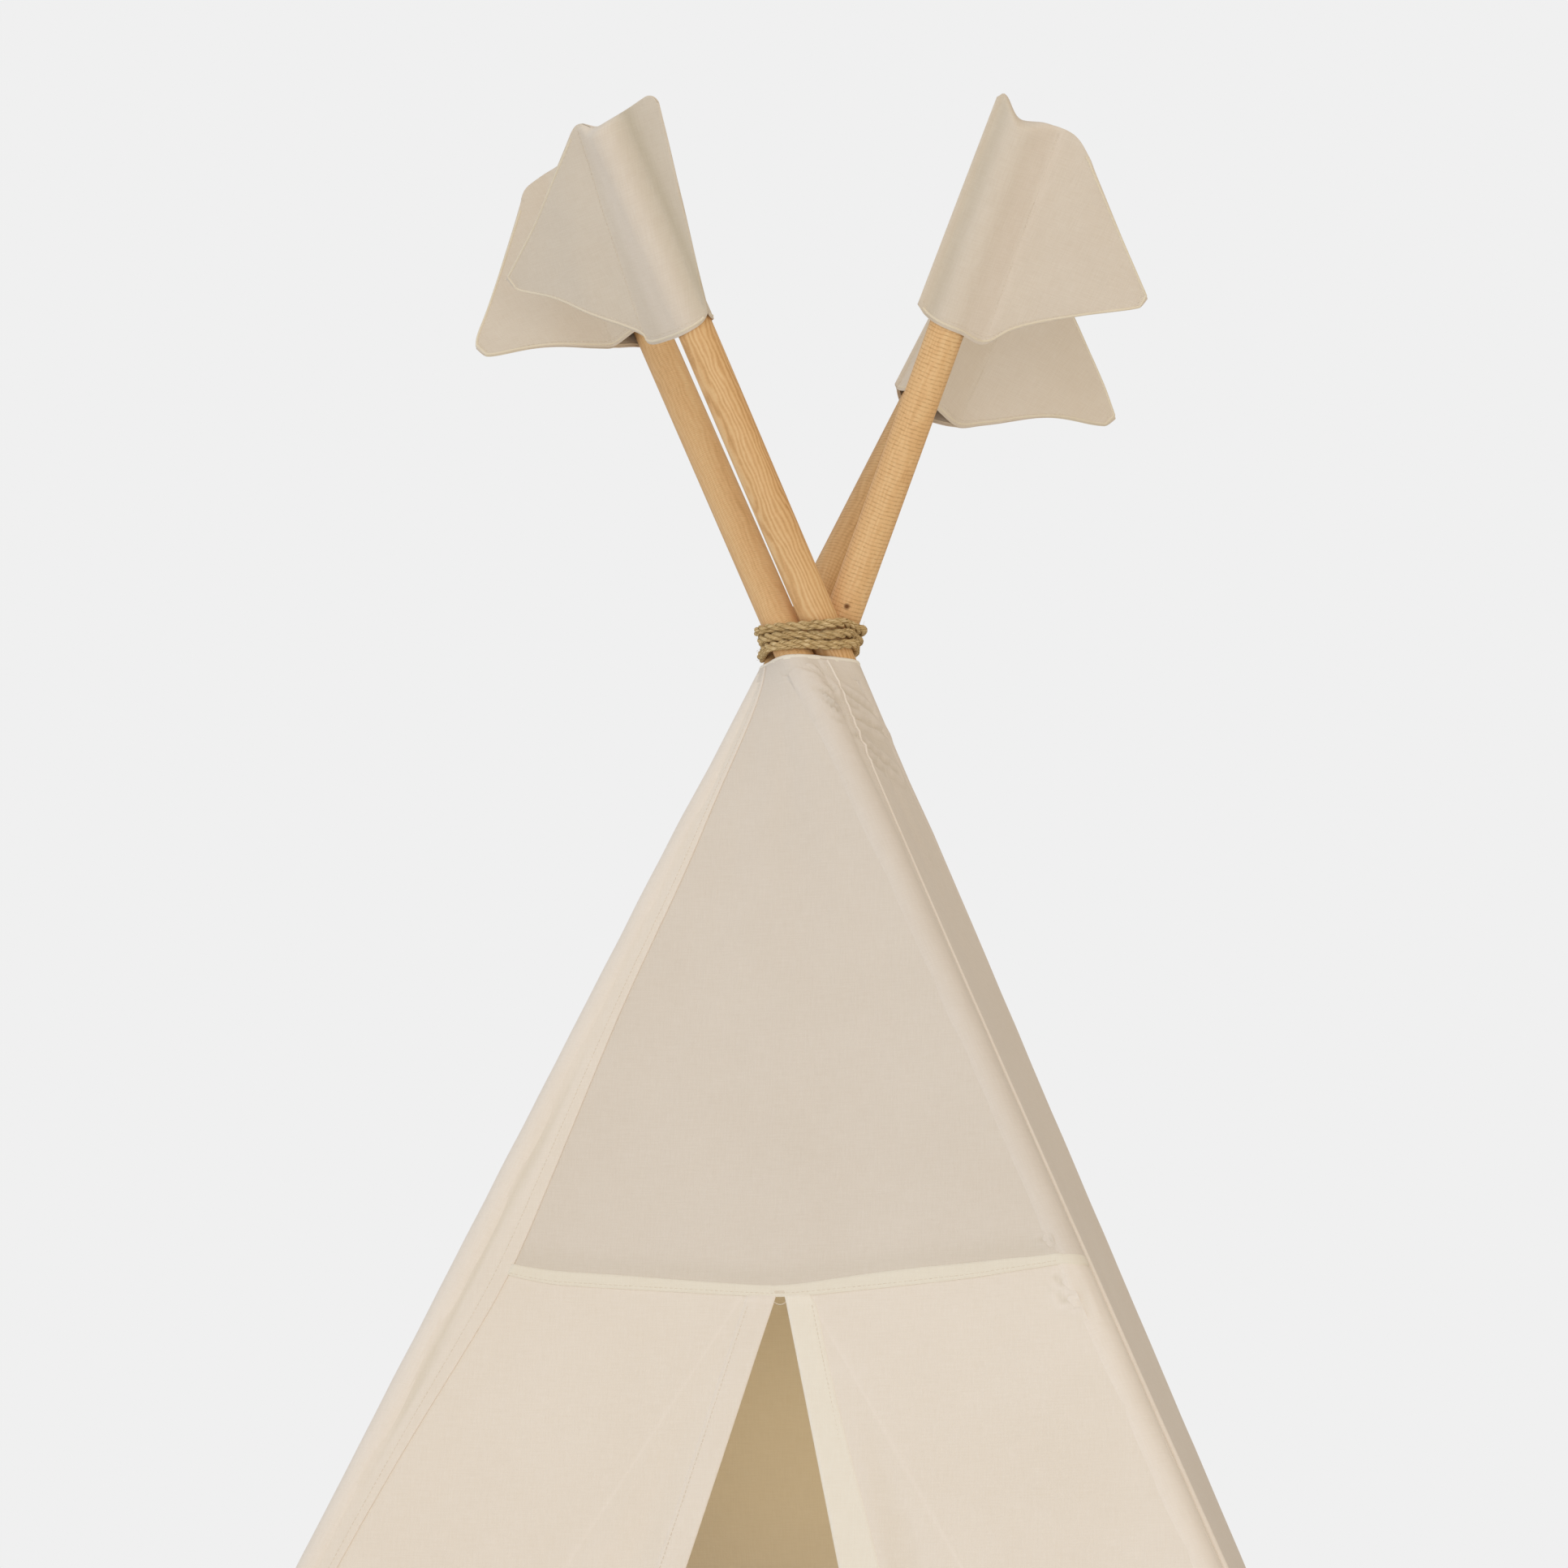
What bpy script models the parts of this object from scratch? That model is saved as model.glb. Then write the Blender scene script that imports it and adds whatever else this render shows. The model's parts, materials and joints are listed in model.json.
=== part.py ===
"""A children's teepee: four lashed wooden poles, a canvas cover with corner sleeves, a door and four flags.

The teepee stands on the floor, with the middle of its footprint at the origin, +Z up and the door towards -Y.
Poles are named for the corner where they stand. They cross at the lashing, so a pole that stands front left
flies its flag at the back right.
"""

import math

import bmesh
import bpy
from mathutils import Matrix, Vector

# Driving dimensions of the frame, in metres
LASHING_HEIGHT = 1.250
FOOT_HALF_SPREAD = 0.527
POLE_RADIUS = 0.0125
POLE_PASSING_OFFSET = 0.0193
POLE_TIP_REACH = 0.376
TALL_POLE_EXTRA = 0.058
POLE_CHAMFER = 0.0025
SECTION_BREAK_REACH = 0.560
FERRULE_LENGTH = 0.100
FERRULE_WALL = 0.0009
FERRULE_FIT = 0.0003

# Gaps kept between pieces that touch
TOUCH_GAP = 0.0003

# The cover
CLOTH = 0.0012
SLEEVE_EASE = 0.0008
SLEEVE_TOP_REACH = 0.042
SLEEVE_SNUG_REACH = 0.112
SLEEVE_LOOSE_REACH = 0.152
SLEEVE_SNUG_EASE = 0.0003
SLEEVE_SNUG_CLOTH = 0.0005
PANEL_TOP_DROP = 0.0012
COLLAR_LOW = 1.2225
COLLAR_HIGH = 1.2350
PANEL_SAG = 0.006
BOTTOM_HEM_HEIGHT = 0.020
HEM_EXTRA = 0.0010
CREASE_HEIGHT = 0.0016
CREASE_REACH = 0.260
CREASE_SPACING_SHARE = 0.30

# The door
DOOR_TOP_HEIGHT = 0.788
DOOR_FLOOR_HALF_WIDTH = 0.208
DOOR_APEX_HALF_GAP = 0.0035
HEADER_HEIGHT = 0.016
HEADER_DIP = 0.020
HEADER_EXTRA = 0.0010
HEADER_SEAM_GAP = 0.0006
DOOR_HEM_WIDTH = 0.018
FLAP_FOLD_INSET = 0.030
FLAP_WAVE = 0.0030
FLAP_FLOOR_CLEARANCE = 0.0010
BAR_TACK_WIDTH = 0.0060
BAR_TACK_HEIGHT = 0.0016
BAR_TACK_DEPTH = 0.0012

# The rope
ROPE_RADIUS = 0.0034
ROPE_PITCH = 0.0077
ROPE_CHORD_EASE = 0.0009
ROPE_LOW_GAP = 0.0004

# The flags
FLAG_LENGTH = 0.148
FLAG_CHANNEL_HALF_WIDTH = 0.0225
FLAG_EASE = 0.0006
FLAG_TOP_TAPER = 0.016
FLAG_EAR_RISE = 0.009
FLAG_TAIL_REACH = 0.092
FLAG_TAIL_TOP_REACH = 0.014
FLAG_BOTTOM_RISE = 0.050
FLAG_TOP_DROP = 0.010
FLAG_TAIL_WAVE = 0.006

# The walls end just under the collar
PANEL_TOP_HEIGHT = COLLAR_LOW - PANEL_TOP_DROP

# Counts
POLE_SIDES = 24
SLEEVE_SIDES = 20
FLAG_CHANNEL_POINTS = 14
FLAG_TAIL_POINTS = 4
FLAG_STATIONS = 8
PANEL_COLUMNS = 12
PANEL_ROWS = 20
ROPE_TURNS = 3
ROPE_POINTS_PER_TURN = 24
ROPE_NEAR_RADII = 6
HULL_DIRECTIONS = 180
COLLAR_STEPS = 48
COLLAR_LEVELS = 4
DOOR_HEM_COLUMNS = 2
FLAP_COLUMNS = 6
DOOR_SIDE_COLUMNS = 8

# Where each pole stands, and how far its flag's tail is swung round the pole, in degrees
CORNERS = {
    "front_left": (-1, -1, 20),
    "front_right": (1, -1, 12),
    "back_right": (1, 1, -38),
    "back_left": (-1, 1, 10),
}

# Each wall, with the corners at its left and right as seen from outside
WALLS = {
    "front": ("front_left", "front_right"),
    "right": ("front_right", "back_right"),
    "back": ("back_right", "back_left"),
    "left": ("back_left", "front_left"),
}

WOOD = (0.68, 0.43, 0.17)
CANVAS = (0.68, 0.60, 0.49)
CANVAS_SHADE = (0.52, 0.43, 0.29)
FLAG_CANVAS = (0.64, 0.55, 0.40)
ROPE = (0.38, 0.24, 0.11)
STEEL = (0.60, 0.60, 0.60)
WOOD_ROUGHNESS = 0.55
CANVAS_ROUGHNESS = 0.95
ROPE_ROUGHNESS = 0.9
STEEL_ROUGHNESS = 0.35
STEEL_METALLIC = 1.0


def clear_scene():
    """Remove every object that the file opened with."""
    for old in list(bpy.data.objects):
        bpy.data.objects.remove(old, do_unlink=True)


def give_material(obj, colour, roughness, metallic=0):
    """Give the object a material of its own."""
    made = bpy.data.materials.new(obj.name)
    made.use_nodes = True
    shader = made.node_tree.nodes["Principled BSDF"]
    shader.inputs["Base Color"].default_value = (*colour, 1.0)
    shader.inputs["Roughness"].default_value = roughness
    shader.inputs["Metallic"].default_value = metallic
    obj.data.materials.append(made)


def add_pivot(name, matrix):
    """Add an empty that stands on a joint's axis."""
    pivot = bpy.data.objects.new(name, None)
    pivot.matrix_world = matrix
    bpy.context.collection.objects.link(pivot)
    return pivot


def add_solid(name, points, faces, pivot, in_world=False, sharp_degrees=40):
    """Add one closed solid on a pivot; its points are the pivot's own unless they are in the world."""
    bm = bmesh.new()
    verts = [bm.verts.new(p) for p in points]
    for face in faces:
        bm.faces.new([verts[i] for i in face])
    bmesh.ops.recalc_face_normals(bm, faces=bm.faces)
    if bm.calc_volume(signed=True) < 0:
        bmesh.ops.reverse_faces(bm, faces=bm.faces)
    mesh = bpy.data.meshes.new(name)
    bm.to_mesh(mesh)
    bm.free()
    if in_world:
        mesh.transform(pivot.matrix_basis.inverted())
    mesh.shade_smooth()
    mesh.set_sharp_from_angle(angle=math.radians(sharp_degrees))
    obj = bpy.data.objects.new(name, mesh)
    bpy.context.collection.objects.link(obj)
    obj.parent = pivot
    return obj


def ring_faces(ring_count, count, closed):
    """Return the quads that join rings of equally many points, and the last ring to the first if closed."""
    faces = []
    for r in range(ring_count if closed else ring_count - 1):
        low = r * count
        high = (r + 1) % ring_count * count
        for i in range(count):
            j = (i + 1) % count
            faces.append((low + i, low + j, high + j, high + i))
    return faces


def loft(rings):
    """Join rings of equally many points into one closed skin, with flat ends."""
    count = len(rings[0])
    points = [p for ring in rings for p in ring]
    faces = ring_faces(len(rings), count, False)
    faces.append(tuple(reversed(range(count))))
    faces.append(tuple((len(rings) - 1) * count + i for i in range(count)))
    return points, faces


def round_ring(radius, height, sides):
    """Return the points of a level circle about the Z axis."""
    turn = 2 * math.pi / sides
    return [Vector((radius * math.cos(i * turn), radius * math.sin(i * turn), height)) for i in range(sides)]


class Pole:
    """One pole's line, from its foot on the floor to its tip, and the frame that its pieces are made in."""

    def __init__(self, corner, side_x, side_y, tail_swing, extra):
        self.corner = corner
        self.radial = Vector((side_x, side_y, 0)).normalized()
        self.tangent = Vector((-self.radial.y, self.radial.x, 0))
        self.cross = Vector((0, 0, LASHING_HEIGHT)) - POLE_PASSING_OFFSET * self.tangent
        self.foot = Vector((side_x * FOOT_HALF_SPREAD, side_y * FOOT_HALF_SPREAD, 0))
        self.way = (self.cross - self.foot).normalized()
        self.across = Vector((-self.way.y, self.way.x, 0)).normalized()
        self.outward = self.way.cross(self.across)
        self.tail_swing = math.radians(tail_swing)
        self.tip = POLE_TIP_REACH + extra

    def at_height(self, height):
        """Return the point of the pole's axis at a height above the floor."""
        return self.foot + self.way * (height / self.way.z)

    def reach_to_floor(self, radius, angle):
        """Return where a line along the pole, at a radius and angle from its axis, meets the floor."""
        return -(self.cross.z + radius * math.sin(angle) * self.outward.z) / self.way.z

    def matrix(self):
        """Return the pole's frame: its Z runs up the pole, from the point where the poles cross."""
        turn = Matrix((self.across, self.outward, self.way)).transposed().to_4x4()
        return Matrix.Translation(self.cross) @ turn


def make_poles():
    """Return the four poles, keyed by corner; the one that stands front right reaches highest."""
    poles = {}
    for corner, (side_x, side_y, tail_swing) in CORNERS.items():
        extra = TALL_POLE_EXTRA if corner == "front_right" else 0
        poles[corner] = Pole(corner, side_x, side_y, tail_swing, extra)
    return poles


def sleeve_radii():
    """Return a sleeve's inner and outer radius."""
    inner = POLE_RADIUS + SLEEVE_EASE
    return inner, inner + CLOTH


def foot_reach(pole):
    """Return how far along the pole its foot lies from the crossing; it stands in the sleeve's pocket."""
    inner, _ = sleeve_radii()
    pocket_height = inner * pole.outward.z + CLOTH
    return -(pole.cross.z - pocket_height) / pole.way.z


def build_pole_sections(pole, pivot):
    """Make the two wooden sections of one pole, with turned-down ends that meet inside a ferrule."""
    tenon = POLE_RADIUS - FERRULE_WALL - FERRULE_FIT
    half_ferrule = FERRULE_LENGTH / 2 + TOUCH_GAP
    foot = foot_reach(pole) + TOUCH_GAP
    middle = -SECTION_BREAK_REACH
    lower = [
        (POLE_RADIUS - POLE_CHAMFER, foot),
        (POLE_RADIUS, foot + POLE_CHAMFER),
        (POLE_RADIUS, middle - half_ferrule),
        (tenon, middle - half_ferrule),
        (tenon, middle - TOUCH_GAP / 2),
    ]
    upper = [
        (tenon, middle + TOUCH_GAP / 2),
        (tenon, middle + half_ferrule),
        (POLE_RADIUS, middle + half_ferrule),
        (POLE_RADIUS, pole.tip - POLE_CHAMFER),
        (POLE_RADIUS - POLE_CHAMFER, pole.tip),
    ]
    for part, profile in (("lower", lower), ("upper", upper)):
        rings = [round_ring(radius, height, POLE_SIDES) for radius, height in profile]
        section = add_solid(f"pole_{pole.corner}_{part}", *loft(rings), pivot)
        give_material(section, WOOD, WOOD_ROUGHNESS)


def build_ferrule(pole, pivot):
    """Make the thin steel tube that joins the two sections, flush with the wood."""
    inner = POLE_RADIUS - FERRULE_WALL
    low = -SECTION_BREAK_REACH - FERRULE_LENGTH / 2
    high = -SECTION_BREAK_REACH + FERRULE_LENGTH / 2
    rings = [round_ring(radius, height, POLE_SIDES)
             for radius, height in ((inner, low), (POLE_RADIUS, low), (POLE_RADIUS, high), (inner, high))]
    points = [p for ring in rings for p in ring]
    faces = ring_faces(len(rings), POLE_SIDES, True)
    ferrule = add_solid(f"ferrule_{pole.corner}", points, faces, pivot)
    give_material(ferrule, STEEL, STEEL_ROUGHNESS, STEEL_METALLIC)


def build_sleeve(pole, pivot):
    """Make the canvas sleeve round one pole: snug and open at the top, closed by a flat pad on the floor."""
    inner, outer = sleeve_radii()
    snug_inner = POLE_RADIUS + SLEEVE_SNUG_EASE
    snug_outer = snug_inner + SLEEVE_SNUG_CLOTH
    pad = []
    for i in range(SLEEVE_SIDES):
        angle = 2 * math.pi * i / SLEEVE_SIDES
        reach = pole.reach_to_floor(outer, angle)
        pad.append(Vector((outer * math.cos(angle), outer * math.sin(angle), reach)))
    profile = [
        (outer, -SLEEVE_LOOSE_REACH),
        (snug_outer, -SLEEVE_SNUG_REACH),
        (snug_outer, -SLEEVE_TOP_REACH),
        (snug_inner, -SLEEVE_TOP_REACH),
        (snug_inner, -SLEEVE_SNUG_REACH),
        (inner, -SLEEVE_LOOSE_REACH),
        (inner, foot_reach(pole)),
    ]
    rings = [pad] + [round_ring(radius, height, SLEEVE_SIDES) for radius, height in profile]
    sleeve = add_solid(f"sleeve_{pole.corner}", *loft(rings), pivot)
    give_material(sleeve, CANVAS, CANVAS_ROUGHNESS)


def bundle_outline(poles, height, around, grown):
    """Return the outermost point of the four poles, grown by a distance, at a height and in a direction."""
    facing = Vector((math.cos(around), math.sin(around), 0))
    best = None
    for pole in poles.values():
        centre = pole.at_height(height)
        lean = Vector((pole.way.x, pole.way.y, 0)).normalized()
        side = Vector((-lean.y, lean.x, 0))
        long_axis = grown / pole.way.z
        reach = math.hypot(long_axis * facing.dot(lean), grown * facing.dot(side))
        point = centre + lean * (long_axis ** 2 * facing.dot(lean) / reach)
        point += side * (grown ** 2 * facing.dot(side) / reach)
        if best is None or point.dot(facing) > best.dot(facing):
            best = point
    return best


def even_points(path, count):
    """Return points spread evenly along a path."""
    run = [0.0]
    for a, b in zip(path, path[1:]):
        run.append(run[-1] + (b - a).length)
    out = []
    k = 0
    for i in range(count):
        goal = run[-1] * i / (count - 1)
        while k < len(run) - 2 and run[k + 1] < goal:
            k += 1
        share = (goal - run[k]) / max(run[k + 1] - run[k], 1e-9)
        out.append(path[k].lerp(path[k + 1], share))
    return out


def least_self_gap(points, radius, apart):
    """Return the least gap between parts of a round tube that lie further apart along it than a given run."""
    run = [0.0]
    for a, b in zip(points, points[1:]):
        run.append(run[-1] + (b - a).length)
    least = math.inf
    for i, p in enumerate(points):
        for j in range(i + 1, len(points)):
            if run[j] - run[i] > apart:
                least = min(least, (p - points[j]).length)
    return least - 2 * radius


def build_rope(poles, pivot):
    """Wind the rope round the crossing poles, from the back round to the back again, as one unbroken tube."""
    grown = POLE_RADIUS + ROPE_RADIUS + TOUCH_GAP + ROPE_CHORD_EASE
    low = COLLAR_HIGH + ROPE_LOW_GAP + ROPE_RADIUS
    path = []
    for i in range(ROPE_TURNS * HULL_DIRECTIONS + 1):
        around = math.pi / 2 + 2 * math.pi * i / HULL_DIRECTIONS
        height = low + ROPE_PITCH * i / HULL_DIRECTIONS
        path.append(bundle_outline(poles, height, around, grown))
    route = even_points(path, ROPE_TURNS * ROPE_POINTS_PER_TURN)
    straight = 2 * ROPE_RADIUS
    start = route[0] + (route[0] - route[1]).normalized() * straight
    end = route[-1] + (route[-1] - route[-2]).normalized() * straight
    route = [start, *route, end]
    gap = least_self_gap(route, ROPE_RADIUS, ROPE_NEAR_RADII * ROPE_RADIUS)
    print("least gap between the rope's turns, in metres", gap)
    curve = bpy.data.curves.new("rope_lashing", "CURVE")
    curve.dimensions = "3D"
    curve.bevel_depth = ROPE_RADIUS
    curve.bevel_resolution = 1
    curve.use_fill_caps = True
    spline = curve.splines.new("POLY")
    spline.points.add(len(route) - 1)
    for point, place in zip(spline.points, route):
        point.co = (*(place - pivot.location), 1)
    rope = bpy.data.objects.new("rope_lashing", curve)
    bpy.context.collection.objects.link(rope)
    rope.parent = pivot
    give_material(rope, ROPE, ROPE_ROUGHNESS)


def build_collar(poles, pivot):
    """Make the cover's gathered top edge, a band round the poles just under the rope."""
    inner = POLE_RADIUS + SLEEVE_EASE
    outer = inner + 2 * CLOTH
    upward = range(COLLAR_LEVELS + 1)
    rings = []
    for grown, heights in ((outer, upward), (inner, reversed(upward))):
        for level in heights:
            height = COLLAR_LOW + (COLLAR_HIGH - COLLAR_LOW) * level / COLLAR_LEVELS
            path = [bundle_outline(poles, height, 2 * math.pi * i / HULL_DIRECTIONS, grown)
                    for i in range(HULL_DIRECTIONS + 1)]
            rings.append(even_points(path, COLLAR_STEPS + 1)[:-1])
    points = [p for ring in rings for p in ring]
    faces = ring_faces(len(rings), COLLAR_STEPS, True)
    collar = add_solid("cover_collar", points, faces, pivot, in_world=True)
    give_material(collar, CANVAS, CANVAS_ROUGHNESS)


class Wall:
    """One wall of the cover: a cloth surface stretched between two sleeves."""

    def __init__(self, name, poles):
        left, right = WALLS[name]
        self.name = name
        self.left = poles[left]
        self.right = poles[right]
        _, sleeve_outer = sleeve_radii()
        self.offset = sleeve_outer - CLOTH
        self.clear = sleeve_outer + TOUCH_GAP

    def frame_at(self, height):
        """Return the two poles' points at a height, the way across between them and the way out."""
        a = self.left.at_height(height)
        b = self.right.at_height(height)
        along = (b - a).normalized()
        slope = (self.left.way + self.right.way).normalized()
        return a, b, along, along.cross(slope).normalized()

    def edges(self, height):
        """Return the wall's left and right edge points at a height, and its outward direction."""
        _, _, _, outward = self.frame_at(height)
        a, b, along, outward = self.frame_at(height - self.offset * outward.z)
        a = a + along * self.reach_past(self.left, along, outward) + outward * self.offset
        b = b - along * self.reach_past(self.right, -along, outward) + outward * self.offset
        return a, b, outward

    def reach_past(self, pole, along, outward):
        """Return how far across the wall its inner face first clears a pole's sleeve."""
        depth = self.offset - CLOTH
        lean_along = along.dot(pole.way)
        lean_out = outward.dot(pole.way)
        square = 1 - lean_along ** 2
        mixed = lean_along * lean_out * depth
        rest = depth ** 2 * (1 - lean_out ** 2) - self.clear ** 2
        return (mixed + math.sqrt(mixed ** 2 - square * rest)) / square

    def point(self, share, height, wave=0.0):
        """Return the cloth's middle at a share of the wall's width and a height, and the way outward."""
        a, b, outward = self.edges(height)
        up_share = height / LASHING_HEIGHT
        sag = -PANEL_SAG * math.sin(math.pi * share) * math.sin(math.pi * up_share)
        down = PANEL_TOP_HEIGHT - height
        fan = 0.0
        if down < CREASE_REACH:
            fade = math.sin(math.pi * down / CREASE_REACH) * math.sin(math.pi * share)
            fan = CREASE_HEIGHT * fade * math.sin(2 * math.pi * share / CREASE_SPACING_SHARE)
        return a.lerp(b, share) + outward * (sag + fan + wave), outward

    def share_at(self, x, height):
        """Return the share of the front wall's width that lies at a place along X."""
        a, b, _ = self.edges(height)
        return (x - a.x) / (b.x - a.x)


def cloth_solid(name, rows, thickness, pivot, colour):
    """Thicken a grid of cloth points, each with its outward direction, into one closed solid."""
    count_r = len(rows)
    count_c = len(rows[0])
    points = []
    for side in (1, -1):
        for row in rows:
            for place, outward in row:
                points.append(place + outward * (side * thickness / 2))
    back = count_r * count_c
    number = [[r * count_c + c for c in range(count_c)] for r in range(count_r)]
    faces = []
    for low, high in zip(number, number[1:]):
        for c in range(count_c - 1):
            quad = (low[c], low[c + 1], high[c + 1], high[c])
            faces.append(quad)
            faces.append(tuple(back + i for i in reversed(quad)))
    right_edge = [row[-1] for row in number]
    left_edge = [row[0] for row in reversed(number)]
    rim = number[0][:-1] + right_edge[:-1] + number[-1][:0:-1] + left_edge[:-1]
    for a, b in zip(rim, rim[1:] + rim[:1]):
        faces.append((a, b, back + b, back + a))
    obj = add_solid(name, points, faces, pivot, in_world=True, sharp_degrees=50)
    give_material(obj, colour, CANVAS_ROUGHNESS)


def wall_grid(wall, low, high, columns, rows):
    """Return a grid over a wall between two heights, each given as a function of the share of its width."""
    grid = []
    for r in range(rows + 1):
        row = []
        for c in range(columns + 1):
            share = c / columns
            height = low(share) + (high(share) - low(share)) * r / rows
            row.append(wall.point(share, height))
        grid.append(row)
    return grid


def floor_line(wall, thickness):
    """Return the height of a cloth's middle where its lower edge just rests on the floor."""
    _, _, outward = wall.edges(0)
    return outward.z * thickness / 2


def build_plain_wall(wall, pivot):
    """Make one closed wall and the folded hem along its foot."""
    floor_edge = floor_line(wall, CLOTH + HEM_EXTRA)
    colour = CANVAS_SHADE if wall.name == "right" else CANVAS
    panel = wall_grid(wall, lambda share: BOTTOM_HEM_HEIGHT + TOUCH_GAP, lambda share: PANEL_TOP_HEIGHT,
                      PANEL_COLUMNS, PANEL_ROWS)
    cloth_solid(f"{wall.name}_panel", panel, CLOTH, pivot, colour)
    hem = wall_grid(wall, lambda share: floor_edge, lambda share: BOTTOM_HEM_HEIGHT, PANEL_COLUMNS, 1)
    cloth_solid(f"{wall.name}_bottom_hem", hem, CLOTH + HEM_EXTRA, pivot, colour)


def header_middle(share):
    """Return the height of the middle of the door's header, which dips at the centre."""
    side_height = DOOR_TOP_HEIGHT + HEADER_HEIGHT / 2 + HEADER_DIP
    return side_height - HEADER_DIP * math.sin(math.pi * share) ** 2


def flap_inner_x(side, height):
    """Return where the slit's edge lies along X at a height; side is -1 on the left and 1 on the right."""
    down_share = (DOOR_TOP_HEIGHT - height) / DOOR_TOP_HEIGHT
    return side * (DOOR_APEX_HALF_GAP + (DOOR_FLOOR_HALF_WIDTH - DOOR_APEX_HALF_GAP) * down_share)


def flap_fold_x(wall, side, height):
    """Return where the line that a flap folds about lies along X at a height."""
    a, b, _ = wall.edges(0)
    corner = (b.x if side > 0 else a.x) - side * FLAP_FOLD_INSET
    top = side * (DOOR_APEX_HALF_GAP + DOOR_HEM_WIDTH + 2 * HEM_EXTRA)
    down_share = (DOOR_TOP_HEIGHT - height) / DOOR_TOP_HEIGHT
    return top + (corner - top) * down_share


def strip_grid(wall, side, inner_x, outer_x, columns, wave=0.0):
    """Return a grid between two lines that run down one half of the door, from its top to the floor."""
    low = FLAP_FLOOR_CLEARANCE + CLOTH
    high = DOOR_TOP_HEIGHT - HEADER_SEAM_GAP
    grid = []
    for r in range(PANEL_ROWS + 1):
        up_share = r / PANEL_ROWS
        height = low + (high - low) * up_share
        row = []
        for c in range(columns + 1):
            reach = c / columns
            x = inner_x(height) + (outer_x(height) - inner_x(height)) * reach
            share = wall.share_at(x, height)
            swell = wave * math.sin(2 * math.pi * reach) * (1 - up_share)
            row.append(wall.point(share, height, swell))
        grid.append(row if side > 0 else list(reversed(row)))
    return grid


def build_front_wall(wall, pivot, flap_pivots):
    """Make the upper front panel, the door's header, the two flaps, their hems and the cloth beside them."""
    half = HEADER_HEIGHT / 2
    panel = wall_grid(wall, lambda s: header_middle(s) + half + TOUCH_GAP, lambda s: PANEL_TOP_HEIGHT,
                      PANEL_COLUMNS, PANEL_ROWS)
    cloth_solid("front_panel", panel, CLOTH, pivot, CANVAS)
    header = wall_grid(wall, lambda s: header_middle(s) - half, lambda s: header_middle(s) + half,
                       PANEL_COLUMNS, 1)
    cloth_solid("door_header", header, CLOTH + HEADER_EXTRA, pivot, CANVAS)

    for side, name in ((-1, "left"), (1, "right")):
        def inner(height, side=side):
            return flap_inner_x(side, height)

        def seam(height, side=side):
            return flap_inner_x(side, height) + side * DOOR_HEM_WIDTH

        def beside_seam(height, side=side):
            return seam(height, side) + side * TOUCH_GAP

        def fold(height, side=side):
            return flap_fold_x(wall, side, height)

        def beside_fold(height, side=side):
            return fold(height, side) + side * TOUCH_GAP

        hem = strip_grid(wall, side, inner, seam, DOOR_HEM_COLUMNS)
        cloth_solid(f"door_hem_{name}", hem, CLOTH + HEM_EXTRA, flap_pivots[name], CANVAS)
        flap = strip_grid(wall, side, beside_seam, fold, FLAP_COLUMNS, FLAP_WAVE)
        cloth_solid(f"door_flap_{name}", flap, CLOTH, flap_pivots[name], CANVAS)
        build_door_side(wall, side, name, beside_fold, pivot)
    build_bar_tack(wall, pivot)


def build_door_side(wall, side, name, beside_fold, pivot):
    """Make the still part of the cloth beside one flap, between its fold line, the header and the sleeve."""
    low = floor_line(wall, CLOTH)
    top = DOOR_TOP_HEIGHT - HEADER_SEAM_GAP
    inner_share = wall.share_at(beside_fold(top), top)
    edge_share = 1 if side > 0 else 0
    grid = []
    for r in range(PANEL_ROWS + 1):
        row = []
        for c in range(DOOR_SIDE_COLUMNS + 1):
            reach = c / DOOR_SIDE_COLUMNS
            top_share = inner_share + (edge_share - inner_share) * reach
            high = header_middle(top_share) - HEADER_HEIGHT / 2 - HEADER_SEAM_GAP
            height = low + (high - low) * r / PANEL_ROWS
            start = wall.share_at(beside_fold(height), height)
            row.append(wall.point(start + (edge_share - start) * reach, height))
        grid.append(row if side > 0 else list(reversed(row)))
    cloth_solid(f"door_side_{name}", grid, CLOTH, pivot, CANVAS)


def build_bar_tack(wall, pivot):
    """Make the short sewn bar that stops the slit from tearing, on the header's face."""
    height = DOOR_TOP_HEIGHT + HEADER_HEIGHT / 2
    lift = (CLOTH + HEADER_EXTRA + BAR_TACK_DEPTH) / 2 + TOUCH_GAP
    grid = []
    for z in (height - BAR_TACK_HEIGHT / 2, height + BAR_TACK_HEIGHT / 2):
        row = []
        for x in (-BAR_TACK_WIDTH / 2, 0, BAR_TACK_WIDTH / 2):
            row.append(wall.point(wall.share_at(x, z), z, lift))
        grid.append(row)
    cloth_solid("door_bar_tack", grid, BAR_TACK_DEPTH, pivot, CANVAS)


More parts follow.
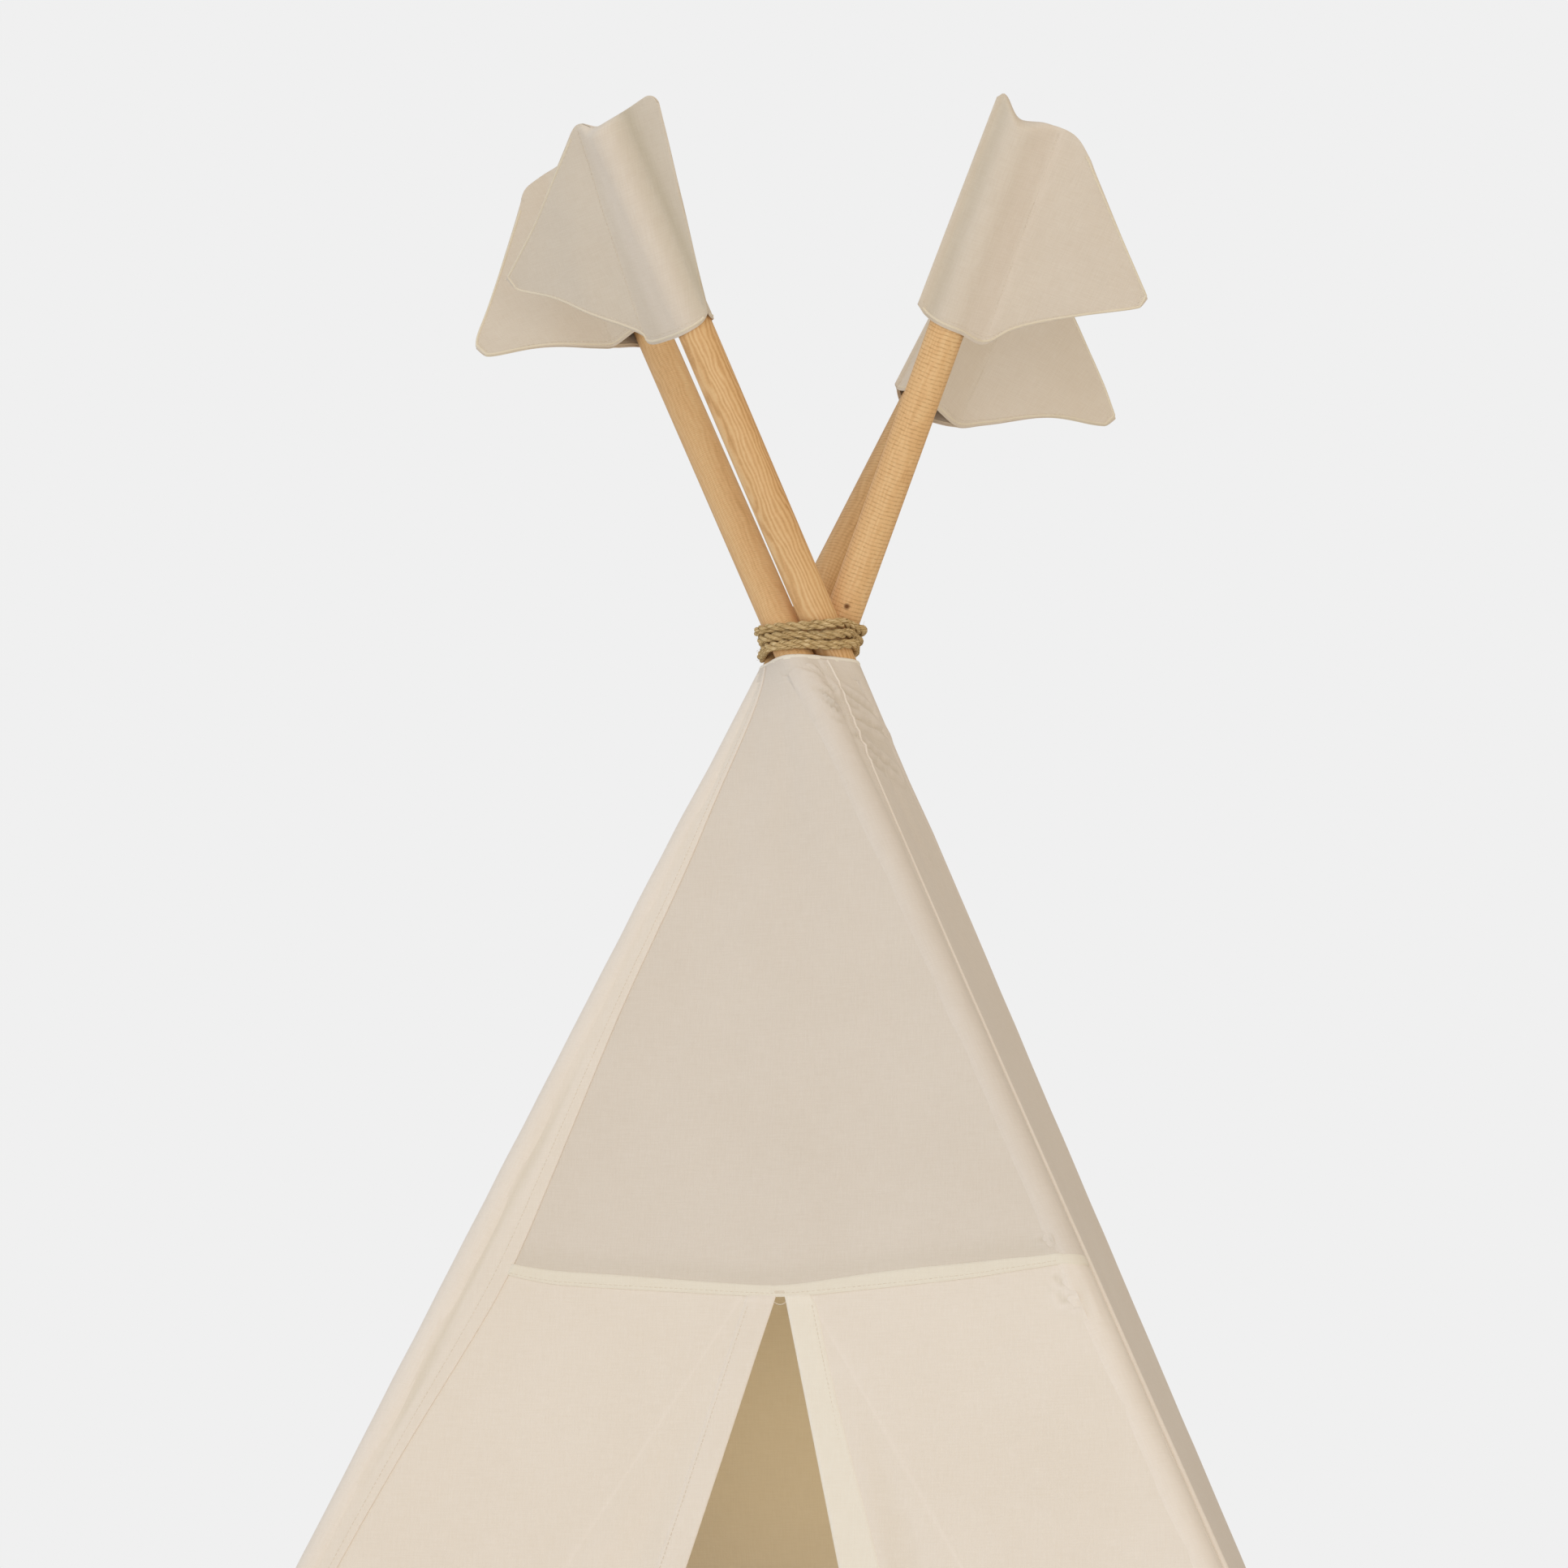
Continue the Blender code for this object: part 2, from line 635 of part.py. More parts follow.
def flag_ring(level, bottom, top, depth, swing):
    """Return one ring of a flag's outer skin: round its channel, then out along its tail and back."""
    half_width = FLAG_CHANNEL_HALF_WIDTH
    reach = FLAG_TAIL_REACH + (FLAG_TAIL_TOP_REACH - FLAG_TAIL_REACH) * level
    start = math.asin(min(CLOTH / depth, 1.0))
    flat = []
    for i in range(FLAG_CHANNEL_POINTS + 1):
        angle = start + (2 * math.pi - 2 * start) * i / FLAG_CHANNEL_POINTS
        flat.append((half_width * math.cos(angle), depth * math.sin(angle), 0.0))
    root = flat[0][0]
    for side in (-1, 1):
        steps = range(1, FLAG_TAIL_POINTS + 1)
        for i in steps if side < 0 else reversed(steps):
            out = i / FLAG_TAIL_POINTS
            wave = FLAG_TAIL_WAVE * math.sin(math.pi * out) * (1 - level)
            flat.append((root + reach * out, side * CLOTH + wave, out))
    ring = []
    for x, y, out in flat:
        low = bottom + FLAG_BOTTOM_RISE * out
        high = top - FLAG_TOP_DROP * out
        ear = FLAG_EAR_RISE * level ** 4
        if out == 0:
            ear *= (x / half_width) ** 2
        z = low + (high - low) * level + ear
        c, s = math.cos(swing), math.sin(swing)
        ring.append(Vector((x * c - y * s, x * s + y * c, z)))
    return ring


def flag_faces(stations):
    """Return a flag's faces: quads between the rings, and an end made of a disc and the tail's strip."""
    ring = FLAG_CHANNEL_POINTS + 1 + 2 * FLAG_TAIL_POINTS
    faces = ring_faces(stations + 1, ring, False)
    last_round = FLAG_CHANNEL_POINTS
    for base in (0, stations * ring):
        faces.append(tuple(base + i for i in range(last_round + 1)))
        lower, upper = last_round, 0
        for k in range(FLAG_TAIL_POINTS):
            next_lower = last_round + 1 + k
            next_upper = ring - 1 - k
            faces.append((base + lower, base + next_lower, base + next_upper, base + upper))
            lower, upper = next_lower, next_upper
    return faces


def tail_direction(pole):
    """Return the angle round the pole at which its flag's tail hangs, on the low side of the leaning pole."""
    lean_side = 1 if pole.way.x > 0 else -1
    level = Vector((lean_side, 0, 0))
    return math.atan2(level.dot(pole.outward), level.dot(pole.across)) + pole.tail_swing


def build_flag(pole, pivot):
    """Make one flag: a canvas envelope slipped over the pole's tip, its tail on the pole's low side."""
    bore = POLE_RADIUS + FLAG_EASE
    depth = bore + CLOTH
    closed_at = pole.tip + TOUCH_GAP
    top = closed_at + FLAG_TOP_TAPER
    bottom = pole.tip - FLAG_LENGTH
    shoulder = (closed_at + CLOTH - bottom) / (top - bottom)
    levels = [shoulder * i / (FLAG_STATIONS - 1) for i in range(FLAG_STATIONS)] + [1.0]
    swing = tail_direction(pole)
    points = []
    for level in levels:
        ring_depth = depth if level < 1 else 2 * CLOTH
        points += flag_ring(level, bottom, top, ring_depth, swing)
    flag = add_solid(f"flag_{pole.corner}", points, flag_faces(len(levels) - 1), pivot)
    give_material(flag, FLAG_CANVAS, CANVAS_ROUGHNESS)
    wide = FLAG_CHANNEL_HALF_WIDTH - CLOTH
    turn = Matrix.Rotation(swing, 3, "Z")
    rings = []
    for height in (bottom - FLAG_TAIL_REACH, closed_at):
        ring = []
        for i in range(POLE_SIDES):
            angle = 2 * math.pi * i / POLE_SIDES
            ring.append(turn @ Vector((wide * math.cos(angle), bore * math.sin(angle), height)))
        rings.append(ring)
    cutter = add_solid(f"flag_bore_{pole.corner}", *loft(rings), pivot)
    cutter.hide_render = True
    cutter.display_type = "WIRE"
    cut = flag.modifiers.new("bore", "BOOLEAN")
    cut.operation = "DIFFERENCE"
    cut.solver = "EXACT"
    cut.object = cutter


def main():
    """Build the teepee."""
    clear_scene()
    poles = make_poles()
    apex = Matrix.Translation((0, 0, LASHING_HEIGHT))
    lashing = add_pivot("lashing_pivot", apex)
    build_rope(poles, lashing)
    build_collar(poles, lashing)
    for pole in poles.values():
        pivot = add_pivot(f"pole_pivot_{pole.corner}", pole.matrix())
        build_pole_sections(pole, pivot)
        build_ferrule(pole, pivot)
        build_sleeve(pole, pivot)
        build_flag(pole, pivot)
    for name in WALLS:
        wall = Wall(name, poles)
        pivot = add_pivot(f"wall_pivot_{name}", apex)
        if name == "front":
            flap_pivots = {}
            for side, flap in ((-1, "left"), (1, "right")):
                x = flap_fold_x(wall, side, 0)
                foot, _ = wall.point(wall.share_at(x, 0), 0)
                flap_pivots[flap] = add_pivot(f"flap_pivot_{flap}", Matrix.Translation(foot))
            build_front_wall(wall, pivot, flap_pivots)
        else:
            build_plain_wall(wall, pivot)


main()
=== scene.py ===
"""Looks of a children's teepee: canvas cover, lashed pine poles, jute rope and four canvas flags."""

import json
import logging
import math
from dataclasses import dataclass
from enum import Enum
from functools import partial
from typing import Any, Callable, Sequence

import bpy
import numpy as np
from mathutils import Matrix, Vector, noise


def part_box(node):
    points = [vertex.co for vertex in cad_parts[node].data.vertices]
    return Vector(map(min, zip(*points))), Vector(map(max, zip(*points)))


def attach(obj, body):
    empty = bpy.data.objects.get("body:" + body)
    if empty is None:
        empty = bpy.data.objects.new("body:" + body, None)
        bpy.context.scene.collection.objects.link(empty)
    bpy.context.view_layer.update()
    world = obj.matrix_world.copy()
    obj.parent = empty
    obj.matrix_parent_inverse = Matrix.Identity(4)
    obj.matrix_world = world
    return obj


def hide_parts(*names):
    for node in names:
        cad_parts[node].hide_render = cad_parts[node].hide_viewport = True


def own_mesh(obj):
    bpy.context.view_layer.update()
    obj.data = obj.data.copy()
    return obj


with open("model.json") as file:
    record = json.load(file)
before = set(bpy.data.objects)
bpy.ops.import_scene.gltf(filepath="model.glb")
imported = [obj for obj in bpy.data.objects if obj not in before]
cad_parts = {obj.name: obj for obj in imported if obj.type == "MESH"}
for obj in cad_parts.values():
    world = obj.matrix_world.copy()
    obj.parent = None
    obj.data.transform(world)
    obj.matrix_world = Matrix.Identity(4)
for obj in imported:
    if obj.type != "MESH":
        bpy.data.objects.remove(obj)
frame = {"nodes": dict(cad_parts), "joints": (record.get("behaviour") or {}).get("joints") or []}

log = logging.getLogger("teepee")

MM = 0.001
TURN = 2 * math.pi
MATH, VECTOR_MATH, MAPPING = "ShaderNodeMath", "ShaderNodeVectorMath", "ShaderNodeMapping"
NOISE, RAMP, BUMP, MIX = "ShaderNodeTexNoise", "ShaderNodeValToRGB", "ShaderNodeBump", "ShaderNodeMixRGB"

Array = np.ndarray
Material = bpy.types.Material
Object = bpy.types.Object
Line = tuple[tuple[float, ...], ...]


class Corner(Enum):
    """A corner of the footprint, and so the pole that stands there."""

    FRONT_LEFT = "front_left"
    FRONT_RIGHT = "front_right"
    BACK_RIGHT = "back_right"
    BACK_LEFT = "back_left"


class Side(Enum):
    """A side of the door."""

    LEFT = -1
    RIGHT = 1

    @property
    def word(self) -> str:
        """Return the side's name as the pieces use it."""
        return self.name.lower()


# Colour and node helpers


def srgb(code: str) -> tuple[float, float, float, float]:
    """Turn an sRGB hex colour into linear values.

    Args:
        code: A hash and six hex digits.

    Returns:
        Red, green and blue in linear light, and an alpha of one.
    """
    parts = [int(code[i:i + 2], 16) / 255 for i in (1, 3, 5)]
    linear = [p / 12.92 if p <= 0.04045 else ((p + 0.055) / 1.055) ** 2.4 for p in parts]
    return (*linear, 1.0)


def set_inputs(node: bpy.types.Node, *values: Any, **named: Any) -> None:
    """Set a node's inputs, or link them.

    Args:
        node: The node.
        *values: Its first inputs: a value, a socket to link from, or None to leave one as it is.
        **named: Inputs by name, with underscores for spaces.
    """
    for key, value in (*enumerate(values), *named.items()):
        socket = node.inputs[key if isinstance(key, int) else key.replace("_", " ")]
        if isinstance(value, bpy.types.NodeSocket):
            node.id_data.links.new(value, socket)
        elif value is not None:
            socket.default_value = value


def add_node(tree: bpy.types.NodeTree, kind: str, *values: Any, out: int | str | None = 0,
             stops: Sequence[tuple[float, str]] = (), **named: Any) -> Any:
    """Add a node with its settings and links.

    Args:
        tree: The node tree to add to.
        kind: The node's type name.
        *values: Its first inputs, as set_inputs takes them.
        out: Which output to return, or None for all of them.
        stops: A colour ramp's places from 0 to 1, each with a hex colour.
        **named: Inputs by name, which start with a capital, and the node's own settings, which don't.

    Returns:
        The node's output.
    """
    node = tree.nodes.new(kind)
    for key in [key for key in named if key[0].islower()]:
        setattr(node, key, named.pop(key))
    set_inputs(node, *values, **named)
    if stops:
        elements = node.color_ramp.elements
        while len(elements) < len(stops):
            elements.new(0.5)
        for element, (place, code) in zip(elements, stops):
            element.position = place
            element.color = srgb(code)
    return node.outputs if out is None else node.outputs[out]


def new_material(name: str) -> tuple[Material, Callable[..., Any], bpy.types.Node]:
    """Make an empty material.

    Args:
        name: The material's real name.

    Returns:
        The material, the function that adds nodes to it, and its Principled shader.
    """
    made = bpy.data.materials.new(name)
    made.use_nodes = True
    return made, partial(add_node, made.node_tree), made.node_tree.nodes["Principled BSDF"]


# Finishes


@dataclass(frozen=True)
class CottonCanvas:
    """Undyed cotton canvas: a matt plain weave of uneven threads, so it looks softly flecked."""

    name: str
    light: str
    dark: str
    thread: float = 0.9 * MM
    slub_length: float = 14 * MM

    def material(self) -> Material:
        """Make the canvas's material; it reads the piece's UV map, whose unit is a metre of cloth.

        Returns:
            The material.
        """
        made, add, shader = new_material(self.name)
        cloth = add("ShaderNodeUVMap", uv_map="cloth")
        # The real threads are 0.5 mm apart; they are drawn at 0.9 mm so that they show in the render
        along, across = 1 / self.slub_length, 1 / self.thread
        waves, slubs = [], []
        axes = add("ShaderNodeSeparateXYZ", cloth, out=None)
        for axis, stretch in zip(axes, ((along, across, 1), (across, along, 1))):
            turn = add(MATH, axis, TURN / self.thread, operation="MULTIPLY")
            waves.append(add(MATH, turn, operation="SINE"))
            place = add(MAPPING, cloth, Scale=stretch)
            slubs.append(add(NOISE, place, noise_dimensions="2D", Scale=1.0, Detail=1.0))
        weave = add(MATH, *waves, operation="MULTIPLY")
        slub = add(MATH, *slubs, operation="ADD")
        cloudy = add(NOISE, cloth, noise_dimensions="2D", Scale=9.0, Detail=3.0, Roughness=0.6)
        tone = 0.0
        for pattern, weight in ((slub, 0.26), (cloudy, 0.35), (weave, 0.04)):
            tone = add(MATH, pattern, weight, tone, operation="MULTIPLY_ADD")
        colour = add(RAMP, tone, stops=((0.15, self.dark), (0.75, self.light)))
        # Painted shade: the shade attribute darkens the cloth and turns it yellower in crease hollows and
        # shaded bands;
        # where it is below zero it paints a paler highlight, as on taut ridges
        shade = add("ShaderNodeAttribute", attribute_name="shade", out="Fac")
        kept = add(VECTOR_MATH, shade, (-0.95, -1.0, -1.35), (1, 1, 1), operation="MULTIPLY_ADD")
        colour = add(VECTOR_MATH, colour, kept, operation="MULTIPLY")
        relief = add(MATH, weave, 0.5, slub, operation="MULTIPLY_ADD")
        bump = add(BUMP, Height=relief, Strength=0.35, Distance=0.15 * MM)
        crumple = add(NOISE, cloth, noise_dimensions="2D", Scale=26.0, Detail=4.0, Roughness=0.55)
        bump = add(BUMP, Height=crumple, Strength=0.5, Distance=2.5 * MM, Normal=bump)
        set_inputs(shader, Base_Color=colour, Normal=bump, Roughness=0.93, Sheen_Weight=0.25,
                   Sheen_Roughness=0.6, Specular_IOR_Level=0.2)
        return made


@dataclass(frozen=True)
class PoleLook:
    """What one pole's wood shows: turning marks round it, a cathedral figure, and perhaps a knot."""

    marks: float
    marks_pitch: float
    figure: float
    tint: str = "#ffffff"
    knot: float | None = None


@dataclass(frozen=True)
class PineWood:
    """Turned and sanded pine: honey coloured, with long grain, fine turning marks and a dull sheen."""

    name: str = "planed pine"
    light: str = "#f6d5a2"
    mid: str = "#e9be88"
    dark: str = "#c2945c"
    mark: str = "#ad7e49"
    knot: str = "#7a4f26"
    ring: float = 2.7 * MM
    pith: float = 38 * MM
    fibre: float = 0.9 * MM
    stretch: float = 0.9

    def material(self, pole: "PoleLine", seed: int, look: PoleLook) -> Material:
        """Make the wood's material for one pole.

        Args:
            pole: The pole's line.
            seed: Which stretch of the pattern it shows.
            look: What its wood shows.

        Returns:
            The material; its grain runs along the pole.
        """
        made, add, shader = new_material(f"{self.name} {pole.corner.value}")

        def cloud(across: float, along: float, detail: float) -> bpy.types.NodeSocket:
            """Return noise with lumps of a size across the pole and along it."""
            place = add(MAPPING, upright, Scale=(1 / across, 1 / across, 1 / along))
            return add(NOISE, place, Scale=1.0, Detail=detail)

        # The pole's own directions bring the pattern upright: how far out both ways, and how far along
        seen = add("ShaderNodeTexCoord", out="Object")
        moved = add(VECTOR_MATH, seen, pole.cross, operation="SUBTRACT")
        own = [add(VECTOR_MATH, moved, axis, operation="DOT_PRODUCT", out="Value")
               for axis in (pole.across, pole.outward, pole.way)]
        upright = add("ShaderNodeCombineXYZ", *own)
        upright = add(VECTOR_MATH, upright, (0.0, 0.0, seed * self.stretch), operation="ADD")
        # The tree's heart lies beside the pole, so its rings cut the round surface in long arches
        facing = -1 if pole.way.y < 0 else 1
        heart = add(MAPPING, upright, Location=(4 * MM, -facing * self.pith, 0.0), Scale=(1, 1, 0))
        away = add(VECTOR_MATH, heart, operation="LENGTH", out="Value")
        away = add(MATH, cloud(16 * MM, 42 * MM, 3.0), 11 * MM, away, operation="MULTIPLY_ADD")
        rings = add(MATH, away, TURN / self.ring, operation="MULTIPLY")
        rings = add(MATH, rings, operation="SINE")
        rings = add(MATH, rings, 0.5, 0.5, operation="MULTIPLY_ADD")
        fibre = cloud(self.fibre, 16 * self.fibre, 3.0)
        tone = 0.22 - 0.5 * look.figure
        fleck, broad = cloud(4.0 * MM, 1.1 * MM, 2.0), cloud(14 * MM, 120 * MM, 2.0)
        for pattern, weight in ((rings, look.figure), (fibre, 0.22), (fleck, 0.16), (broad, 0.35)):
            tone = add(MATH, pattern, weight, tone, operation="MULTIPLY_ADD")
        colour = add(RAMP, tone, stops=((0.28, self.dark), (0.55, self.mid), (0.80, self.light)))
        # Turning marks: thin darker rings round the pole, a few millimetres apart and a little uneven
        sway = add(MATH, cloud(7 * MM, 9 * MM, 2.0), 3.6, operation="MULTIPLY")
        marks = add(MATH, own[2], TURN / look.marks_pitch, sway, operation="MULTIPLY_ADD")
        marks = add(MATH, marks, operation="SINE")
        marks = add(MATH, marks, 0.5, 0.5, operation="MULTIPLY_ADD")
        marks = add(MATH, marks, 5.0, operation="POWER")
        patchy = add(MATH, cloud(3 * MM, 2 * MM, 1.0), 2.2, -0.5, operation="MULTIPLY_ADD")
        marks = add(MATH, marks, patchy, operation="MULTIPLY")
        marks = add(MATH, marks, look.marks, operation="MULTIPLY")
        colour = add(MIX, marks, colour, srgb(self.mark))
        if look.knot is not None:
            at = add(MAPPING, upright, Location=(0.0079, 0.0096, -look.knot - seed * self.stretch))
            far = add(VECTOR_MATH, at, operation="LENGTH", out="Value")
            spot = add("ShaderNodeMapRange", far, 1.0 * MM, 2.6 * MM, 1.0, 0.0)
            colour = add(MIX, spot, colour, srgb(self.knot))
        # The pole's tint multiplies the wood; on the front left pole it is painted shade
        colour = add(MIX, 1.0, colour, srgb(look.tint), blend_type="MULTIPLY")
        height = add(MATH, fibre, marks, operation="SUBTRACT")
        bump = add(BUMP, Height=height, Strength=0.3, Distance=0.2 * MM)
        set_inputs(shader, Base_Color=colour, Normal=bump, Roughness=0.55, Specular_IOR_Level=0.3)
        return made


@dataclass(frozen=True)
class JuteRope:
    """Twisted jute: coarse brown fibres, pale where they stand proud and dark between the strands."""

    name: str = "twisted jute"
    light: str = "#efd9ae"
    mid: str = "#cdb07d"
    dark: str = "#7f6238"
    yarn: float = 0.8 * MM
    slant: float = 32

    def material(self) -> Material:
        """Make the rope's material; it reads the UV map, metres along and round each strand.

        Returns:
            The material.
        """
        made, add, shader = new_material(self.name)
        strand = add("ShaderNodeUVMap", uv_map="cloth")
        turned = add(MAPPING, strand, Rotation=(0, 0, math.radians(self.slant)))
        drawn = add(MAPPING, turned, Scale=(1 / (9 * self.yarn), 1 / self.yarn, 1))
        fibres = add(NOISE, drawn, noise_dimensions="2D", Scale=1.0, Detail=4.0, Roughness=0.65)
        colour = add(RAMP, fibres, stops=((0.30, self.dark), (0.50, self.mid), (0.72, self.light)))
        bump = add(BUMP, Height=fibres, Strength=0.9, Distance=0.5 * MM)
        set_inputs(shader, Base_Color=colour, Normal=bump, Roughness=0.9, Specular_IOR_Level=0.2)
        return made


@dataclass(frozen=True)
class SpeckledFinish:
    """A plain finish with fine specks between two tones, and perhaps a slight relief."""

    name: str
    dark: str
    light: str
    grain: float
    roughness: float
    detail: float = 2.0
    metallic: float = 0.0
    relief: float = 0.0
    spread: float = 0.3

    def material(self) -> Material:
        """Make the finish's material.

        Returns:
            The material.
        """
        made, add, shader = new_material(self.name)
        seen = add("ShaderNodeTexCoord", out="Object")
        specks = add(NOISE, seen, Scale=self.grain, Detail=self.detail)
        colour = add(RAMP, specks, stops=((self.spread, self.dark), (1 - self.spread, self.light)))
        set_inputs(shader, Base_Color=colour, Metallic=self.metallic, Roughness=self.roughness)
        if self.relief:
            set_inputs(shader, Normal=add(BUMP, Height=specks, Strength=self.relief, Distance=0.05 * MM))
        return made


# Thin zinc-plated steel tube looks grey, with fine draw lines round it
STEEL = SpeckledFinish("zinc-plated steel", "#9b9da0", "#c9cacb", 900.0, 0.38, metallic=1.0, relief=0.1)
# Undyed cotton sewing thread looks a little paler than the canvas that it holds
THREAD = SpeckledFinish("cotton thread", "#dfd3c0", "#ece2d2", 1500.0, 0.85, detail=1.0)
# The studio's floor is matt paper, all but even
PAPER_FLOOR = SpeckledFinish("pale paper", "#eeeeee", "#f1f1f1", 60.0, 0.95)

# Mesh helpers


@dataclass
class Shell:
    """Part of a mesh: points, faces and each point's place in metres of cloth."""

    points: Array
    faces: list[tuple[int, ...]]
    cloth: Array

    def __add__(self, other: "Shell") -> "Shell":
        """Return both shells as one.

        Args:
            other: The shell to add.

        Returns:
            The shell of both.
        """
        shift = len(self.points)
        moved = [tuple(i + shift for i in face) for face in other.faces]
        return Shell(np.concatenate([self.points, other.points]), self.faces + moved,
                     np.concatenate([self.cloth, other.cloth]))


def place_in_scene(name: str, data: bpy.types.ID) -> Object:
    """Put a mesh, lamp or camera in the scene as an object of a name.

    Args:
        name: The object's name.
        data: What it holds.

    Returns:
        The object.
    """
    obj = bpy.data.objects.new(name, data)
    bpy.context.scene.collection.objects.link(obj)
    return obj


def make_object(name: str, shell: Shell, material: Material, sharp_degrees: float = 60.0) -> Object:
    """Make an object from a shell, smooth but for its sharp edges.

    Args:
        name: The piece's name.
        shell: Its mesh, with faces that point outwards.
        material: Its finish.
        sharp_degrees: Edges that turn by more than this stay sharp.

    Returns:
        The new object, at the origin.
    """
    mesh = bpy.data.meshes.new(name)
    mesh.from_pydata([tuple(p) for p in shell.points], [], shell.faces)
    mesh.update()
    layer = mesh.uv_layers.new(name="cloth")
    loops = np.empty(len(mesh.loops), dtype=np.int32)
    mesh.loops.foreach_get("vertex_index", loops)
    layer.data.foreach_set("uv", np.asarray(shell.cloth, dtype=np.float32)[loops].ravel())
    mesh.shade_smooth()
    mesh.set_sharp_from_angle(angle=math.radians(sharp_degrees))
    mesh.materials.append(material)
    return place_in_scene(name, mesh)


def dress(obj: Object, body: str, nodes: Sequence[str] = (),
          axis: tuple[int, int, int] | None = None) -> Object:
    """Let a finished piece ride its body and stand for its CAD nodes, which are hidden.

    Args:
        obj: The piece.
        body: The body that it rides.
        nodes: The CAD nodes that it stands for.
        axis: For cloth that flattens as the frame folds, the direction in which it does; only whether it is
            given counts: the piece then gets its own copy of its mesh.

    Returns:
        The piece.
    """
    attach(obj, body)
    if axis is not None:
        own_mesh(obj)
    if nodes:
        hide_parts(*nodes)
    log.info("%s: %d faces on %s", obj.name, len(obj.data.polygons), body)
    return obj


def tone_down(obj: Object, values: Array) -> None:
    """Add shares of shade to a cloth's first points, which are its outer face's, over what it has.

    Args:
        obj: The cloth.
        values: The share for each point, 0 for none.
    """
    mesh = obj.data
    shade = np.zeros(len(mesh.vertices), dtype=np.float32)
    layer = mesh.attributes.get("shade")
    if layer is None:
        layer = mesh.attributes.new("shade", "FLOAT", "POINT")
    else:
        layer.data.foreach_get("value", shade)
    shade[:values.size] += values.ravel()
    layer.data.foreach_set("value", shade)


@dataclass(frozen=True)
class Hollows:
    """Painted shade that darkens cloth in its hollows, and painted highlight that pales its ridges: the depth
    that counts is in millimetres.
    """

    strength: float = 0.24
    rounds: int = 14
    unseen: float = 0.12
    palest: float = -0.03
    darkest: float = 0.085

    def shade(self, obj: Object) -> None:
        """Give cloth its share of shade at each point, from how far it lies below the cloth around it.

        Args:
            obj: The cloth.
        """
        mesh = obj.data
        count = len(mesh.vertices)
        points, normals = np.empty(count * 3), np.empty(count * 3)
        mesh.vertices.foreach_get("co", points)
        mesh.vertex_normals.foreach_get("vector", normals)
        points, normals = points.reshape(-1, 3), normals.reshape(-1, 3)
        ends = np.empty(len(mesh.edges) * 2, dtype=np.int32)
        mesh.edges.foreach_get("vertices", ends)
        one, other = ends.reshape(-1, 2).T
        joined = np.maximum(np.bincount(ends, minlength=count), 1)[:, None]
        level = points.copy()
        for _ in range(self.rounds):
            total = [np.bincount(one, level[other, axis], count) + np.bincount(other, level[one, axis], count)
                     for axis in range(3)]
            level = (level + np.stack(total, 1) / joined) / 2
        below = ((level - points) * normals).sum(1) / MM
        below = np.sign(below) * np.maximum(np.abs(below) - self.unseen, 0)
        tone_down(obj, np.clip(self.strength * below, self.palest, self.darkest))


def unit(vectors: Array) -> Array:
    """Return vectors at length one."""
    return vectors / np.maximum(np.linalg.norm(vectors, axis=-1, keepdims=True), 1e-12)


def run_along(path: Array) -> Array:
    """Return how far along a path each of its places is."""
    return np.concatenate([[0], np.cumsum(np.linalg.norm(np.diff(path, axis=0), axis=1))])


def smooth_step(x: Array, low: float, high: float) -> Array:
    """Return 0 below low, 1 above high and a smooth rise between."""
    t = np.clip((x - low) / (high - low), 0, 1)
    return t * t * (3 - 2 * t)


def bell(x: Array, middle: float, width: float) -> Array:
    """Return a smooth hump, 1 at its middle; both measures are in millimetres."""
    return np.exp(-((x - middle * MM) / (width * MM)) ** 2)


def closer_to_one(count: int, power: float) -> Array:
    """Return places from 0 to 1 that lie closer together towards 1."""
    return 1 - (1 - np.linspace(0, 1, count)) ** power


def soft_bends(x: Array, at: Array, values: Array, reach: float, count: int) -> Array:
    """Return a bent line's values at places, with its bends softened.

    Args:
        x: The places.
        at: Where the line bends.
        values: Its values there.
        reach: How far to each side a bend is softened.
        count: How many places around each one are averaged.

    Returns:
        The line's value at each place.
    """
    return np.mean([np.interp(x + step, at, values) for step in np.linspace(-reach, reach, count)], axis=0)


